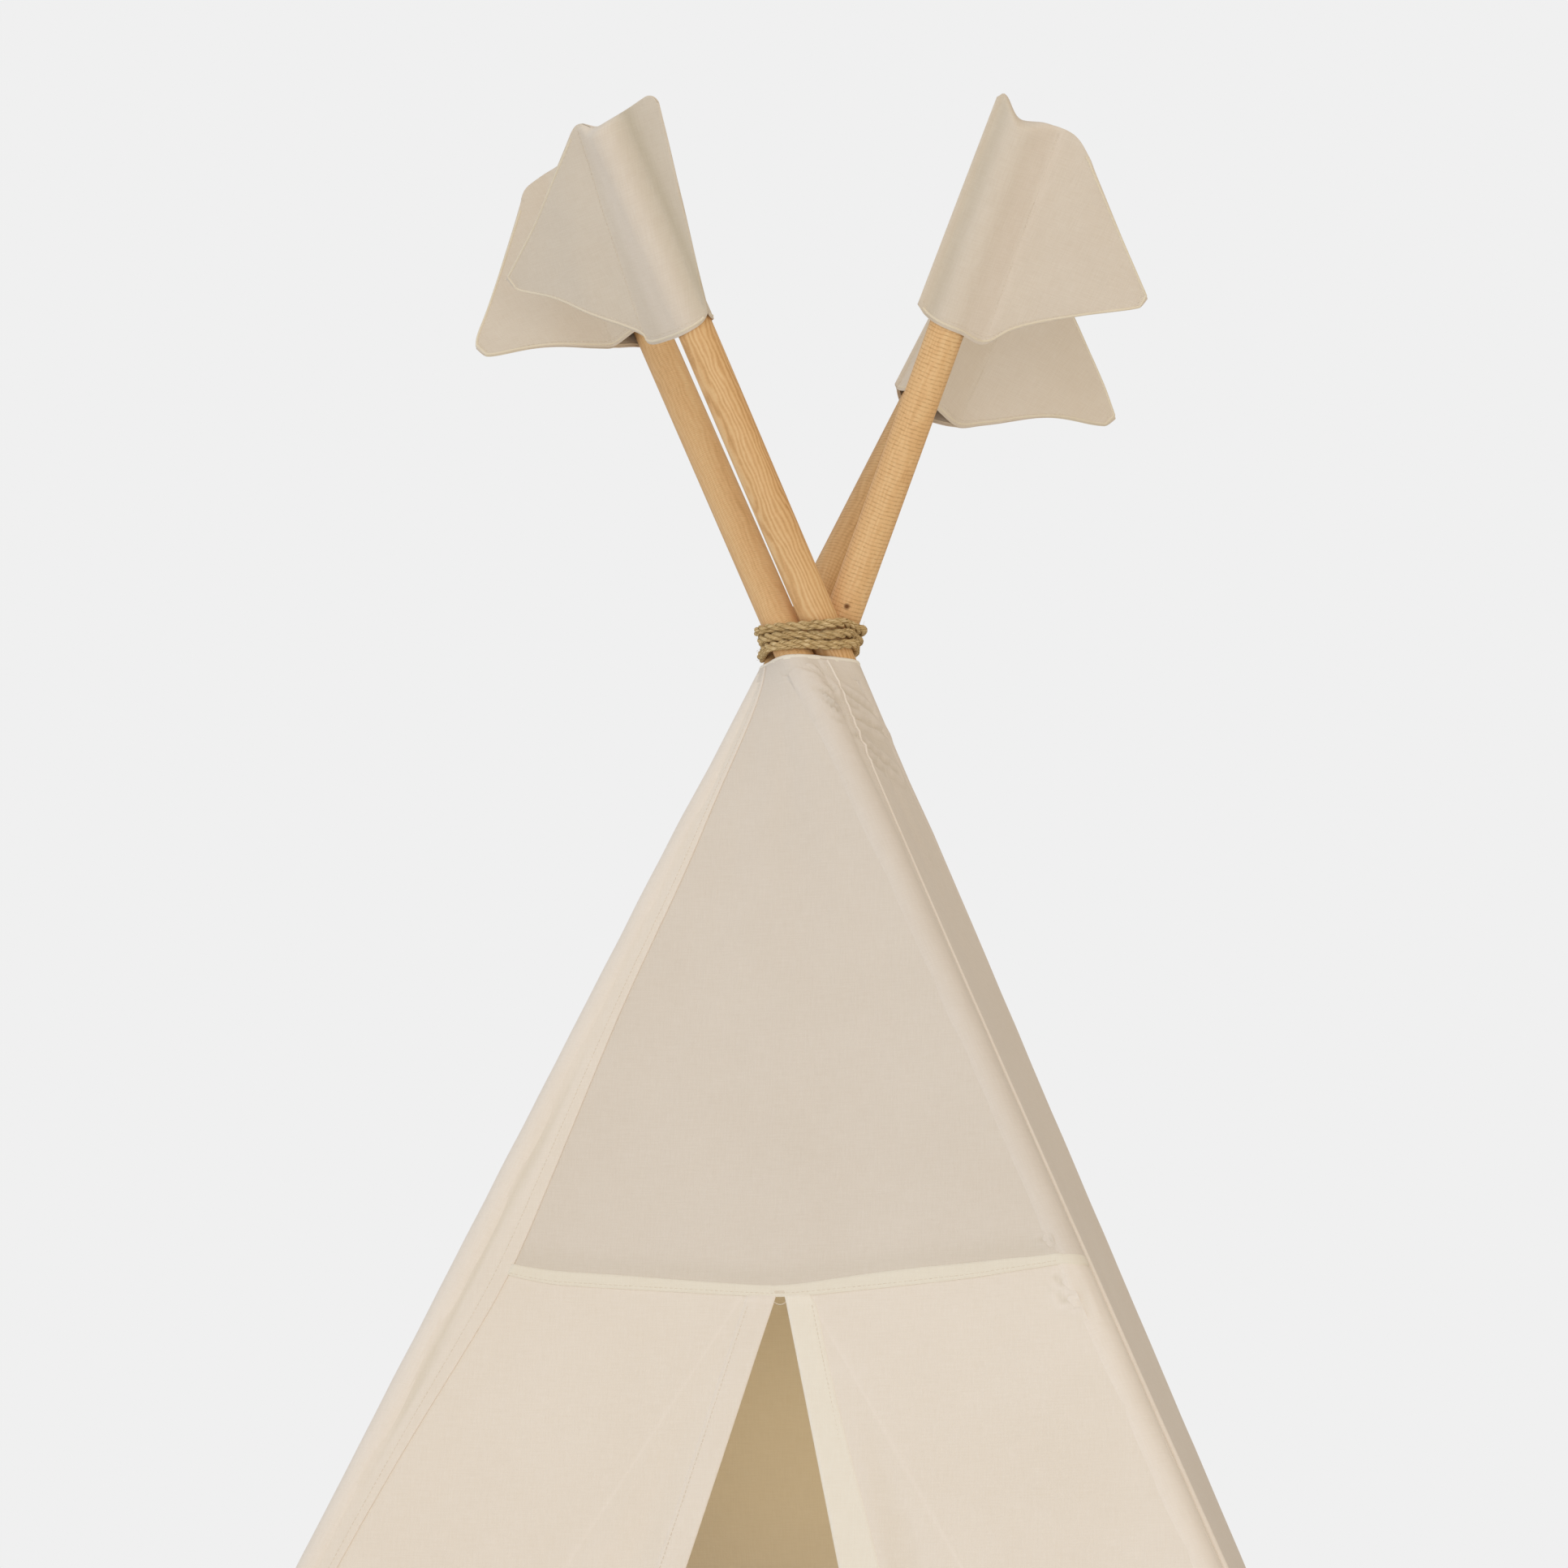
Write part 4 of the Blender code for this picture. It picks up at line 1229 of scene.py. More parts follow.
@dataclass(frozen=True)
class Cover:
    """The canvas cover: walls, door, corner sleeves and the gathered top edge."""

    single: Material
    doubled: Material
    turned: Material
    stitches: "Stitches"

    def sheet(self, name: str, wall: Wall, share: Array, height: Array, canvas: Material,
              lift: Array | float = 0.0, soft: str = "lrtb") -> tuple[Object, Array]:
        """Make a sheet that hangs on a wall.

        Args:
            name: The piece's name.
            wall: The wall that it lies on.
            share: A grid of shares of the width of the wall's own cloth.
            height: A grid of heights.
            canvas: Its finish.
            lift: How far outside the wall's surface it lies.
            soft: Which edges are rounded: left, right, top or bottom, by first letter.

        Returns:
            The piece, and its grid of places.
        """
        place, outward, cloth = wall.hung(share, height, lift)
        obj = make_object(name, sheet_shell(place, outward, cloth, SIZES.cloth, soft), canvas)
        Hollows().shade(obj)
        return obj, place

    def sew(self, name: str, wall: Wall, share: Array, height: Array, lift: float, body: str) -> None:
        """Sew a run of stitches on a wall's surface.

        Args:
            name: The run's name.
            wall: The wall.
            share: Shares of the width along the run.
            height: Heights along the run.
            lift: How far the thread lies outside the cloth's middle.
            body: What it rides on.
        """
        place, _, _ = wall.hung(np.atleast_2d(share), np.atleast_2d(height), lift)
        dress(self.stitches.run(name, place[0]), body, axis=wall.name.squash_axis)

    def plain_wall(self, name: WallName) -> None:
        """Make one closed wall with its turned-up hem.

        Args:
            name: Which wall.
        """
        wall, word, axis = WALLS[name], name.word, name.squash_axis
        shares = np.linspace(0, 1, steps(1.05, SIZES.grid * 1.3) + 1)
        rise = closer_to_one(steps(1.39, SIZES.grid), 1.6)
        upper = SIZES.hem_height + (SIZES.cloth_top - SIZES.hem_height) * rise
        share, height = np.meshgrid(shares, np.concatenate([[SIZES.hem_foot, SIZES.hem_height / 2], upper]))
        obj, place = self.sheet(f"{word}_wall_cloth", wall, share, height, self.single, soft="ltb")
        dress(obj, name.body, [f"{word}_panel"], axis)
        share, height = np.meshgrid(shares, np.linspace(SIZES.hem_foot, SIZES.hem_height, 5))
        hem, _ = self.sheet(f"{word}_hem_cloth", wall, share, height, self.doubled, SIZES.cloth, "ltb")
        dress(hem, name.body, [f"{word}_bottom_hem"], axis)
        self.sew(f"{word}_hem_stitches", wall, np.linspace(0.01, 0.99, 60),
                 np.full(60, SIZES.hem_height - 3 * MM), 1.5 * SIZES.cloth, name.body)

    def upper_front(self, shares: Array, low: Array, high: Array) -> None:
        """Make the front above the door.

        Args:
            shares: Shares of the width.
            low: Heights of the header's lower edge there.
            high: Heights of its upper edge.
        """
        middle = (low + high) / 2
        height = middle + (SIZES.cloth_top - middle) * closer_to_one(190, 1.5)[:, None]
        obj, place = self.sheet("upper_front_cloth", FRONT, np.broadcast_to(shares, height.shape), height,
                                self.single, soft="lt")
        # Painted shade: a soft darker band on the cloth just above the header
        tone_down(obj, 0.045 * bell(height - high, 5, 8))
        dress(obj, "wall_front", ["front_panel"], FRONT.name.squash_axis)

    def header(self, shares: Array, low: Array, high: Array) -> None:
        """Make the header over the door, which runs on round the right corner.

        Args:
            shares: Shares of the width.
            low: Heights of its lower edge there.
            high: Heights of its upper edge.
        """
        height = low + (high - low) * np.linspace(0, 1, 7)[:, None]
        begin = SIZES.lap / FRONT.axes(height)[3][:, :1]
        flat = FRONT.hung(begin + (1 - begin) * shares, height, SIZES.header_lift)
        # Its right end goes round the pole, up to the seam on the next wall
        turn = np.concatenate([np.linspace(0, 1, 15)[1:], [1.4, 1.8, 2.15]])
        height = np.repeat(height[:, -1:], len(turn), 1)
        turn = np.broadcast_to(turn, height.shape)
        corner, facing = FRONT.round_right(height, turn, SIZES.offset + SIZES.header_lift - 0.2 * MM)
        further = flat[2][:, -1:] + np.stack([turn * 20 * MM, 0 * height], -1)
        grids = [np.concatenate(pair, 1) for pair in zip(flat, (corner, facing, further))]
        obj = make_object("door_header_cloth", sheet_shell(*grids, SIZES.header_cloth), self.turned)
        tone_down(obj, np.full(len(obj.data.vertices), 0.035))
        dress(obj, "wall_front", ["door_header"], FRONT.name.squash_axis)
        line = np.linspace(0.02, 0.985, 160)
        self.sew("header_stitches", FRONT, line, Door.header_edges(line)[0] + 1.6 * MM,
                 SIZES.header_lift + SIZES.header_cloth / 2, "wall_front")

    def flap(self, door: Door) -> None:
        """Make one flap, from the slit's edge to its fold line.

        Args:
            door: The flap's side of the door.
        """
        side, height = door.side, door.rows
        reach = (np.linspace(0, 1, 44) ** 1.3)[::side.value]
        inset = side.value * 1.0 * MM
        start = door.slit_x(height) + inset
        grid = door.under_header(start + (door.fold_x(height) - start) * reach, height)
        start = door.slit_x(grid) + inset
        x = start + (door.fold_x(grid) - start) * reach
        gap = np.abs(x - door.slit_x(grid))
        swell = door.swell(gap, grid) * (1 - smooth_step(reach, 0.7, 1.0))
        obj, place = self.sheet(f"door_flap_{side.word}_cloth", FRONT, FRONT.share_at(x, grid), grid,
                                self.doubled, swell, "lrtb".replace(side.word[0], ""))
        dark, at, wide = FLAP_SHADE[side]
        tone_down(obj, dark * smooth_step(SLIT_TOP - grid, 0.02, 0.24) * bell(gap - SIZES.door_hem, at, wide))
        dress(obj, f"flap_{side.word}", [f"door_flap_{side.word}"], FRONT.name.squash_axis)

    def flap_hem(self, door: Door) -> None:
        """Make the hem along a flap's slit edge, with its stitches; the right one is fuller further down.

        Args:
            door: The flap's side of the door.
        """
        side, height = door.side, door.rows
        part = np.array([0, 0.1, 0.25, 0.4, 0.55, 0.7, 0.82, 0.91, 1.0])[::side.value]
        growth, finish = (SIZES.hem_growth, self.turned) if side is Side.RIGHT else (0.0, self.doubled)
        wide = SIZES.door_hem * (1 + growth * smooth_step(SLIT_TOP - height, 0.04, 0.20))
        wide = np.minimum(wide, np.abs(door.fold_x(height) - door.slit_x(height)) - 0.8 * MM)
        across = side.value * wide * part
        grid = door.under_header(door.slit_x(height) + across, height)
        seated = 0.85 * MM - 0.45 * MM * smooth_step(part, 0.6, 1.0)
        hem, _ = self.sheet(f"door_hem_{side.word}_cloth", FRONT,
                            FRONT.share_at(door.slit_x(grid) + across, grid), grid, finish,
                            door.swell(np.abs(across), grid) + seated)
        dress(hem, f"flap_{side.word}", [f"door_hem_{side.word}"], FRONT.name.squash_axis)
        line = np.linspace(height[0, 0] + 2 * MM, height[-1, 0] - 2 * MM, 120)
        x = door.slit_x(line) + side.value * (SIZES.door_hem - 2.5 * MM)
        self.sew(f"door_hem_{side.word}_stitches", FRONT, FRONT.share_at(x, line), line, 1.05 * MM,
                 f"flap_{side.word}")

    def door_side(self, door: Door) -> None:
        """Make the still cloth between a flap's fold line and the pole.

        Args:
            door: The side of the door.
        """
        side, height = door.side, door.rows
        reach = np.linspace(0, 1, steps(0.24, 3.2 * MM) + 1)[::side.value]
        end = float(side is Side.RIGHT)
        inner = FRONT.share_at(door.fold_x(height[-1:]), height[-1:])
        top = door.header_edges(inner + (end - inner) * reach)[0] + 0.5 * MM
        top = top + 2 * MM * smooth_step(reach, 0.0, 0.05)
        grid = height[0, 0] + (top - height[0, 0]) * np.linspace(0, 1, len(height))[:, None]
        inner = FRONT.share_at(door.fold_x(grid), grid)
        obj, place = self.sheet(f"door_side_{side.word}_cloth", FRONT, inner + (end - inner) * reach, grid,
                                self.doubled, soft="b" if side is Side.RIGHT else "lb")
        dress(obj, "wall_front", [f"door_side_{side.word}"], FRONT.name.squash_axis)

    def bar_tack(self) -> None:
        """Sew the short bar of close stitches over the slit's end, and the thread bar just below it."""
        turn, arch = np.linspace(0, 1, 160), np.linspace(-1, 1, 30)
        close = turn * TURN * 13
        top = SIZES.header_lift + SIZES.header_cloth / 2
        threads = {
            "door_bar_tack_thread": (6 * MM * turn, 7.0 * MM + 0.8 * MM * np.sin(close),
                                     top + 0.25 * MM * np.cos(close), ["door_bar_tack"]),
            "door_thread_bar": (SIZES.slit_aside + 4.6 * MM * arch, -0.2 * MM + 2.0 * MM * arch ** 2,
                                0.6 * MM * arch ** 2, []),
        }
        for name, (x, rise, lift, nodes) in threads.items():
            x, height = np.atleast_2d(x), np.atleast_2d(SLIT_TOP + rise)
            place, _, _ = FRONT.surface(FRONT.share_at(x, height), height, lift)
            obj = make_object(name, tube_shell(place[0], 0.3 * MM, 6), self.stitches.thread)
            dress(obj, "wall_front", nodes, FRONT.name.squash_axis)

    def sleeve_tube(self, pole: PoleLine) -> Shell:
        """Return the tube of a sleeve, snug near the lashing and rumpled further down.

        Args:
            pole: The pole that it holds.

        Returns:
            The tube.
        """
        angle = np.arange(48) * TURN / 48
        rise = closer_to_one(150, 2)[:, None]
        foot = pole.floor_reach(SIZES.sleeve_outer, angle)
        reach = foot + (-SIZES.sleeve_top_reach - foot) * rise
        thick = SIZES.loosened(-reach, SIZES.snug_cloth, SIZES.cloth)
        plain = SIZES.loosened(-reach, SIZES.snug_outer, SIZES.sleeve_outer) - thick / 2
        around = np.stack(np.broadcast_arrays(np.cos(angle) * 0.03, np.sin(angle) * 0.03, reach), -1)
        rumple = ripple(around, 34 * MM, 20 + list(Corner).index(pole.corner)) * 0.35 * MM
        rumple = rumple * smooth_step(-reach, SIZES.snug_reach, SIZES.loose_reach)
        rumple = rumple * smooth_step(rise, 0, 0.03)
        middle = np.maximum(plain + rumple + press_all(pole.ring(plain, angle, reach)) * 0.7,
                            POLE_RADIUS + 0.12 * MM + thick / 2)
        place = pole.ring(middle, angle, reach)
        cloth = np.stack([np.broadcast_to(angle * SIZES.sleeve_outer, reach.shape), reach], -1)
        return sheet_shell(place, unit(place - pole.at(reach)), cloth, thick, "t", looped=True)

    def sleeve(self, name: WallName) -> None:
        """Make the sleeve round a wall's left pole and the lap that reaches the seam on that wall.

        Args:
            name: Which wall.
        """
        wall = WALLS[name]
        pole = wall.left
        front = name is WallName.FRONT
        tube = self.sleeve_tube(pole)
        foot, top = 12 * MM, SIZES.cloth_top - 2 * MM
        heights = foot + (top - foot) * closer_to_one(190, 1.5)[:, None]
        seam = wall.seam_inset(heights)
        share_in = np.array([0, 0.12, 0.24, 0.36, 0.48, 0.6, 0.7, 0.8, 0.88, 0.94, 1.0])[None]
        across = seam * share_in
        share = across / wall.axes(heights)[3]
        grid = np.broadcast_to(heights, share.shape)
        snug = SIZES.loosened(pole.down_to(grid), SIZES.snug_outer - SIZES.sleeve_outer, 0.0)
        lap = (0.75 if front else 1.0) * MM * smooth_step(share_in, 0.2, 0.7)
        blend = smooth_step(across, 0, 8 * MM)
        groove = 0.7 * MM * bell(across, 7, 3) * smooth_step(seam, 15 * MM, 24 * MM)
        lift = snug * (1 - blend) + (wall.settled(share, grid, 0.0) + lap) * blend - groove
        place, outward, cloth = wall.surface(share, grid, lift, 0.0)
        flange = sheet_shell(place, outward, cloth, SIZES.cloth, "rtb")
        # The seam's folded edge makes a welt, slight on the front and fuller on the other walls
        welt = np.interp(heights[:, 0], [0.60, 0.85, 1.23], [2.5, 1.7, 0.8]) * MM
        proud = 0.55
        if front:
            welt, proud = np.full(len(heights), 0.5 * MM), 0.1
        ridge = place[:, -1] + outward[:, -1] * (proud * welt)[:, None]
        obj = make_object(f"sleeve_{pole.corner.value}_cloth", tube + flange + tube_shell(ridge, welt, 10),
                          self.doubled)
        Hollows().shade(obj)
        if not front:
            # The single cloth of a wall runs on round its corner; beside the door it is doubled
            obj.data.materials.append(self.single)
            single_from = SLIT_TOP + 25 * MM if name is WallName.RIGHT else 0
            for face in obj.data.polygons[:len(tube.faces) + len(flange.faces)]:
                face.material_index = int(face.center.z > single_from)
        dress(obj, pole.body, [f"sleeve_{pole.corner.value}"])
        long = float(-pole.floor_reach(SIZES.sleeve_outer, np.array(-math.pi / 2)) - SIZES.sleeve_top_reach)
        sewn = place[:, 6] + outward[:, 6] * (SIZES.cloth / 2)
        dress(self.stitches.run(f"seam_{pole.corner.value}_stitches", sewn), pole.body)

    def collar(self) -> None:
        """Make the cover's top edge: a facing round the poles, rolled over the walls' tops under the rope."""
        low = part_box("cover_collar")[0].z
        count = 240
        turn = np.linspace(0, TURN, 721)
        rise, grown, thick = np.array(COLLAR_LINE).T[..., None] * MM
        place = np.array([even_points(bundle_outline(low + up + 0 * turn, turn, out[0]), count + 1)[:-1]
                          for up, out in zip(rise, grown)])
        outward = unit(place * np.array([1, 1, 0]))
        pucker = ripple(place, 9 * MM, 31) * 0.35 * MM * np.linspace(0, 1, len(rise))[:, None]
        place = place + np.array([0, 0, 1.0]) * pucker[..., None]
        cloth = np.stack([np.broadcast_to(np.linspace(0, 0.25, count), place.shape[:2]), place[..., 2]], -1)
        shell = sheet_shell(place, outward, cloth, thick, "tb", looped=True)
        obj = make_object("cover_top_hem_cloth", shell, self.turned)
        # Below its roll the facing is the walls' own single cloth
        obj.data.materials.append(self.single)
        for face in obj.data.polygons:
            face.material_index = int(face.center.z < low + COLLAR_ROLL)
        dress(obj, "lashing", ["cover_collar"])

    def build(self) -> None:
        """Make the whole cover."""
        shares = np.linspace(0, 1, steps(0.40, 3.6 * MM) + 1)
        for make in (self.upper_front, self.header):
            make(shares, *Door.header_edges(shares))
        for door in map(Door, Side):
            for make in (self.flap, self.flap_hem, self.door_side):
                make(door)
        self.bar_tack()
        for name in (WallName.RIGHT, WallName.BACK, WallName.LEFT):
            self.plain_wall(name)
        for name in WallName:
            self.sleeve(name)
        self.collar()


def bundle_outline(height: Array, around: Array, grown: float) -> Array:
    """Return the outermost places of the four poles, grown by a distance, at heights and in directions.

    Args:
        height: Heights above the floor.
        around: The directions, as turns round the upright.
        grown: The distance.

    Returns:
        The outermost place in each direction.
    """
    facing = np.stack([np.cos(around), np.sin(around), 0 * around], -1)
    best = np.full(around.shape, -np.inf)
    found = np.zeros((*around.shape, 3))
    for pole in POLES.values():
        way = np.array(pole.way)
        lean = unit(way * np.array([1, 1, 0]))
        side = np.array([-lean[1], lean[0], 0])
        long_axis = grown / way[2]
        reach = np.hypot(long_axis * (facing @ lean), grown * (facing @ side))
        point = pole.at(-pole.down_to(height))
        for axis, half in ((lean, long_axis), (side, grown)):
            point = point + axis * (half ** 2 * (facing @ axis) / reach)[..., None]
        far = np.einsum("...i,...i->...", point, facing)
        found = np.where((far > best)[..., None], point, found)
        best = np.maximum(best, far)
    return found


# Stitches


@dataclass(frozen=True)
class StitchSizes:
    """Real sizes of a run of machine stitches."""

    spacing: float = 3.2 * MM
    length: float = 2.5 * MM
    thread: float = 0.24 * MM
    seed: int = 7


class Stitches:
    """Sews runs of stitches with Geometry Nodes."""

    def __init__(self, thread: Material, sizes: StitchSizes = StitchSizes()) -> None:
        """Make the node group that every run uses.

        Args:
            thread: The thread's finish.
            sizes: The stitches' sizes.
        """
        self.thread = thread
        self.group = self.make_group()
        self.given = {"Spacing": sizes.spacing, "Stitch Length": sizes.length, "Thread Radius": sizes.thread,
                      "Seed": sizes.seed, "Thread": thread}

    @staticmethod
    def make_group() -> bpy.types.NodeTree:
        """Make the node group that lays stitches along a line.

        Returns:
            The group.
        """
        group = bpy.data.node_groups.new("stitch run", "GeometryNodeTree")
        add = partial(add_node, group)
        for name, kind in (("Line", "Geometry"), ("Spacing", "Float"), ("Stitch Length", "Float"),
                           ("Thread Radius", "Float"), ("Seed", "Int"), ("Thread", "Material")):
            group.interface.new_socket(name, in_out="INPUT", socket_type=f"NodeSocket{kind}")
        group.interface.new_socket("Stitches", in_out="OUTPUT", socket_type="NodeSocketGeometry")
        given = add("NodeGroupInput", out=None)
        curve = add("GeometryNodeMeshToCurve", Mesh=given["Line"], out="Curve")
        points = add("GeometryNodeCurveToPoints", mode="LENGTH", Curve=curve, Length=given["Spacing"],
                     out=None)
        bead = add("GeometryNodeMeshIcoSphere", Radius=1.0, Subdivisions=1, out="Mesh")
        bead = add("GeometryNodeSetShadeSmooth", Geometry=bead, out="Geometry")
        half = add(MATH, given["Stitch Length"], 0.5, operation="MULTIPLY")
        size = add("ShaderNodeCombineXYZ", given["Thread Radius"], given["Thread Radius"], half)
        vary = add("FunctionNodeRandomValue", None, None, 0.85, 1.1, data_type="FLOAT", Seed=given["Seed"],
                   out=1)
        size = add(VECTOR_MATH, size, operation="SCALE", Scale=vary)
        turn = add("FunctionNodeAlignRotationToVector", axis="Z", Vector=points["Tangent"], out="Rotation")
        laid = add("GeometryNodeInstanceOnPoints", Points=points["Points"], Instance=bead, Rotation=turn,
                   Scale=size, out="Instances")
        real = add("GeometryNodeRealizeInstances", Geometry=laid, out="Geometry")
        done = add("GeometryNodeSetMaterial", Geometry=real, Material=given["Thread"], out="Geometry")
        add("NodeGroupOutput", Stitches=done, out=None)
        return group

    def run(self, name: str, line: Array) -> Object:
        """Sew stitches along a line.

        Args:
            name: The run's name.
            line: Places along it.

        Returns:
            A plain mesh of stitches.
        """
        guide = bpy.data.meshes.new(f"{name}_line")
        guide.from_pydata([tuple(p) for p in line], [(i, i + 1) for i in range(len(line) - 1)], [])
        holder = place_in_scene(f"{name}_line", guide)
        modifier = holder.modifiers.new("stitches", "NODES")
        modifier.node_group = self.group
        for item in self.group.interface.items_tree:
            if item.name in self.given:
                modifier[item.identifier] = self.given[item.name]
        mesh = bpy.data.meshes.new_from_object(holder.evaluated_get(bpy.context.evaluated_depsgraph_get()))
        mesh.name = name
        bpy.data.objects.remove(holder)
        bpy.data.meshes.remove(guide)
        return place_in_scene(name, mesh)


# The rope


@dataclass(frozen=True)
class Lashing:
    """The jute rope wound three times round the crossing poles."""

    jute: Material
    radius: float = 3.4 * MM
    pitch: float = 6.7 * MM
    turns: int = 3
    clear: float = 0.1 * MM
    first: float = 6.9 * MM
    dip: float = 3.0 * MM
    strands: int = 3
    lay: float = 26 * MM
    fibre_count: int = 260
    sharp_degrees: float = 80

    def route(self) -> Array:
        """Return the rope's middle line, from the back round to the back again.

        Returns:
            Places along it.
        """
        per_turn = 180
        count = np.arange(self.turns * per_turn + 1)
        around = math.pi / 2 + TURN * count / per_turn
        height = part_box("cover_collar")[1].z + self.first + self.pitch * count / per_turn
        height = height - self.dip * np.clip(-np.sin(around), 0, 1) ** 1.5
        path = bundle_outline(height, around, POLE_RADIUS + self.radius + self.clear)
        # Both ends run straight on a little
        start, end = (path[i] + unit(path[i] - path[j]) * 2 * self.radius for i, j in ((0, 4), (-1, -5)))
        return np.concatenate([start[None], path, end[None]])

    def twisted(self, line: Array, run: Array, side: Array, up: Array) -> list[Shell]:
        """Return the rope's strands.

        Args:
            line: Places along the rope's middle.
            run: How far along it each one is.
            side: The level direction square to it at each one.
            up: The other direction square to it.

        Returns:
            A tube for each strand.
        """
        strand = self.radius * 0.475
        made = []
        for k in range(self.strands):
            turn = (TURN * (k / self.strands - run / self.lay))[:, None]
            middle = line + (self.radius - strand) * (side * np.cos(turn) + up * np.sin(turn))
            lumps = 1 + 0.07 * ripple(np.stack([run, 0 * run + k], -1), 7 * MM, 41 + k)
            made.append(tube_shell(middle, strand * lumps, 10))
        return made

    def fibres(self, line: Array, ahead: Array, side: Array, up: Array) -> list[Shell]:
        """Return the short fibres that stand off the rope.

        Args:
            line: Places along the rope's middle.
            ahead: The way along it at each one.
            side: The level direction square to it.
            up: The other direction square to it.

        Returns:
            A tube for each fibre.
        """
        chance = np.random.default_rng(5)
        t = np.linspace(0, 1, 5)[:, None]
        made = []
        for _ in range(self.fibre_count):
            i = int(chance.integers(5, len(line) - 5))
            turn = chance.uniform(0, TURN)
            out = side[i] * math.cos(turn) + up[i] * math.sin(turn)
            length = chance.uniform(1.5, 5.0) * MM
            bend = ahead[i] * chance.normal(0, 0.9) + up[i] * chance.normal(0, 0.3)
            route = line[i] + out * (self.radius * 0.85 + length * 0.45 * t) + bend * length * t ** 1.5
            made.append(tube_shell(route, np.linspace(0.09, 0.04, 5) * MM, 4))
        return made

    def build(self) -> None:
        """Make the rope's strands and loose fibres."""
        route = self.route()
        length = run_along(route)[-1]
        line = even_points(route, int(length / (0.9 * MM)))
        ahead = unit(np.gradient(line, axis=0))
        side = unit(np.cross(ahead, (0.0, 0.0, 1.0)))
        up = np.cross(side, ahead)
        pieces = {"strands": self.twisted(line, np.linspace(0, length, len(line)), side, up),
                  "fibres": self.fibres(line, ahead, side, up)}
        for word, shells in pieces.items():
            shell = sum(shells[1:], shells[0])
            obj = make_object(f"rope_lashing_{word}", shell, self.jute, self.sharp_degrees)
            dress(obj, "lashing", ["rope_lashing"] if word == "strands" else [])
        log.info("rope: %.3f m of rope", length)


# The flags


@dataclass(frozen=True)
class FlagShape:
    """A flag's outline in its own plane, in millimetres: out from the pole's axis, and up from its tip.

    Each edge runs between two corners; the points between are where it bends. The seam's place out from the
    axis is given low and high, and the painted shade as places out, each with a share of shade; a share
    below zero paints a paler highlight.
    """

    corner: Corner
    swing: float
    low: Line
    high: Line
    seam_low: float
    seam_high: float
    seed: int
    shade: Line = ((-100, 0), (100, 0))


FLAG_SHAPES = (
    FlagShape(Corner.BACK_RIGHT, -38.0,
              low=((-18, -140), (-10, -146), (20, -148), (47, -147), (53, -137.5), (107, -102), (146, -86),
                   (156, -80)),
              high=((-53, 0), (-51, 5), (-46, 7.3), (-41, 7), (-25, 4.6), (-6, 2.4), (8, 1.0), (15, 1.6),
                    (28, 7), (50, -6), (100, -38), (159, -73)),
              seam_low=50, seam_high=28, seed=1,
              shade=((-45, 0.03), (-31, 0.08), (-22, 0.2), (-15, 0.08), (-8, -0.06), (18, -0.06), (30, 0.02),
                     (90, 0.02))),
    FlagShape(Corner.FRONT_RIGHT, 12.0,
              low=((-22, -138), (-14, -143), (12, -145), (31, -149), (44, -147), (83, -139), (114, -135),
                   (122, -132)),
              high=((-20, 22), (-14, 26), (-2, 14), (6, 20), (16.5, 28), (38, 19), (46, 13.5), (51, 6),
                    (54, 0), (100.6, -81), (120, -112), (125, -124)),
              seam_low=32, seam_high=26, seed=2),
    FlagShape(Corner.BACK_LEFT, 10.0,
              low=((-24, -134), (-14, -140), (8, -142), (27, -145), (44, -129), (79, -107), (112, -90),
                   (119, -86)),
              high=((-21, 14), (-16, 17), (-2, 5), (16, 8), (36, 7), (50, -3), (60, -14), (93, -50),
                    (121, -80)),
              seam_low=27, seam_high=26, seed=3,
              shade=((-24, 0), (-19, 0.06), (-14, 0.1), (-8, 0.01), (6, -0.03), (15, -0.08), (27, -0.08),
                     (34, -0.03))),
    FlagShape(Corner.FRONT_LEFT, 20.0,
              low=((-20, -143), (-12, -149), (12, -152), (33, -151), (50, -139), (88, -112), (120, -95),
                   (128, -90)),
              high=((-20, 14), (-15, 17), (-2, 5), (16, 8), (38, 6), (72, -21), (112, -60), (131, -82)),
              seam_low=33, seam_high=27, seed=4),
)


def bend_line(points: Line, share: Array) -> Array:
    """Return places at shares along a smooth line through points (Catmull and Rom's curve).

    Args:
        points: The points.
        share: Shares of the line's length.

    Returns:
        The place at each share.
    """
    p = np.array(points, float)
    p = np.concatenate([[2 * p[0] - p[1]], p, [2 * p[-1] - p[-2]]])
    run = run_along(p[1:-1])
    goal = np.clip(share, 0, 1) * run[-1]
    k = np.clip(np.searchsorted(run, goal, side="right") - 1, 0, len(run) - 2)
    t = ((goal - run[k]) / (run[k + 1] - run[k]))[..., None]
    a, b, c, d = (p[k + i] for i in range(4))
    bent = (2 * a - 5 * b + 4 * c - d) * t ** 2 + (3 * b - a - 3 * c + d) * t ** 3
    return 0.5 * (2 * b + (c - a) * t + bent)


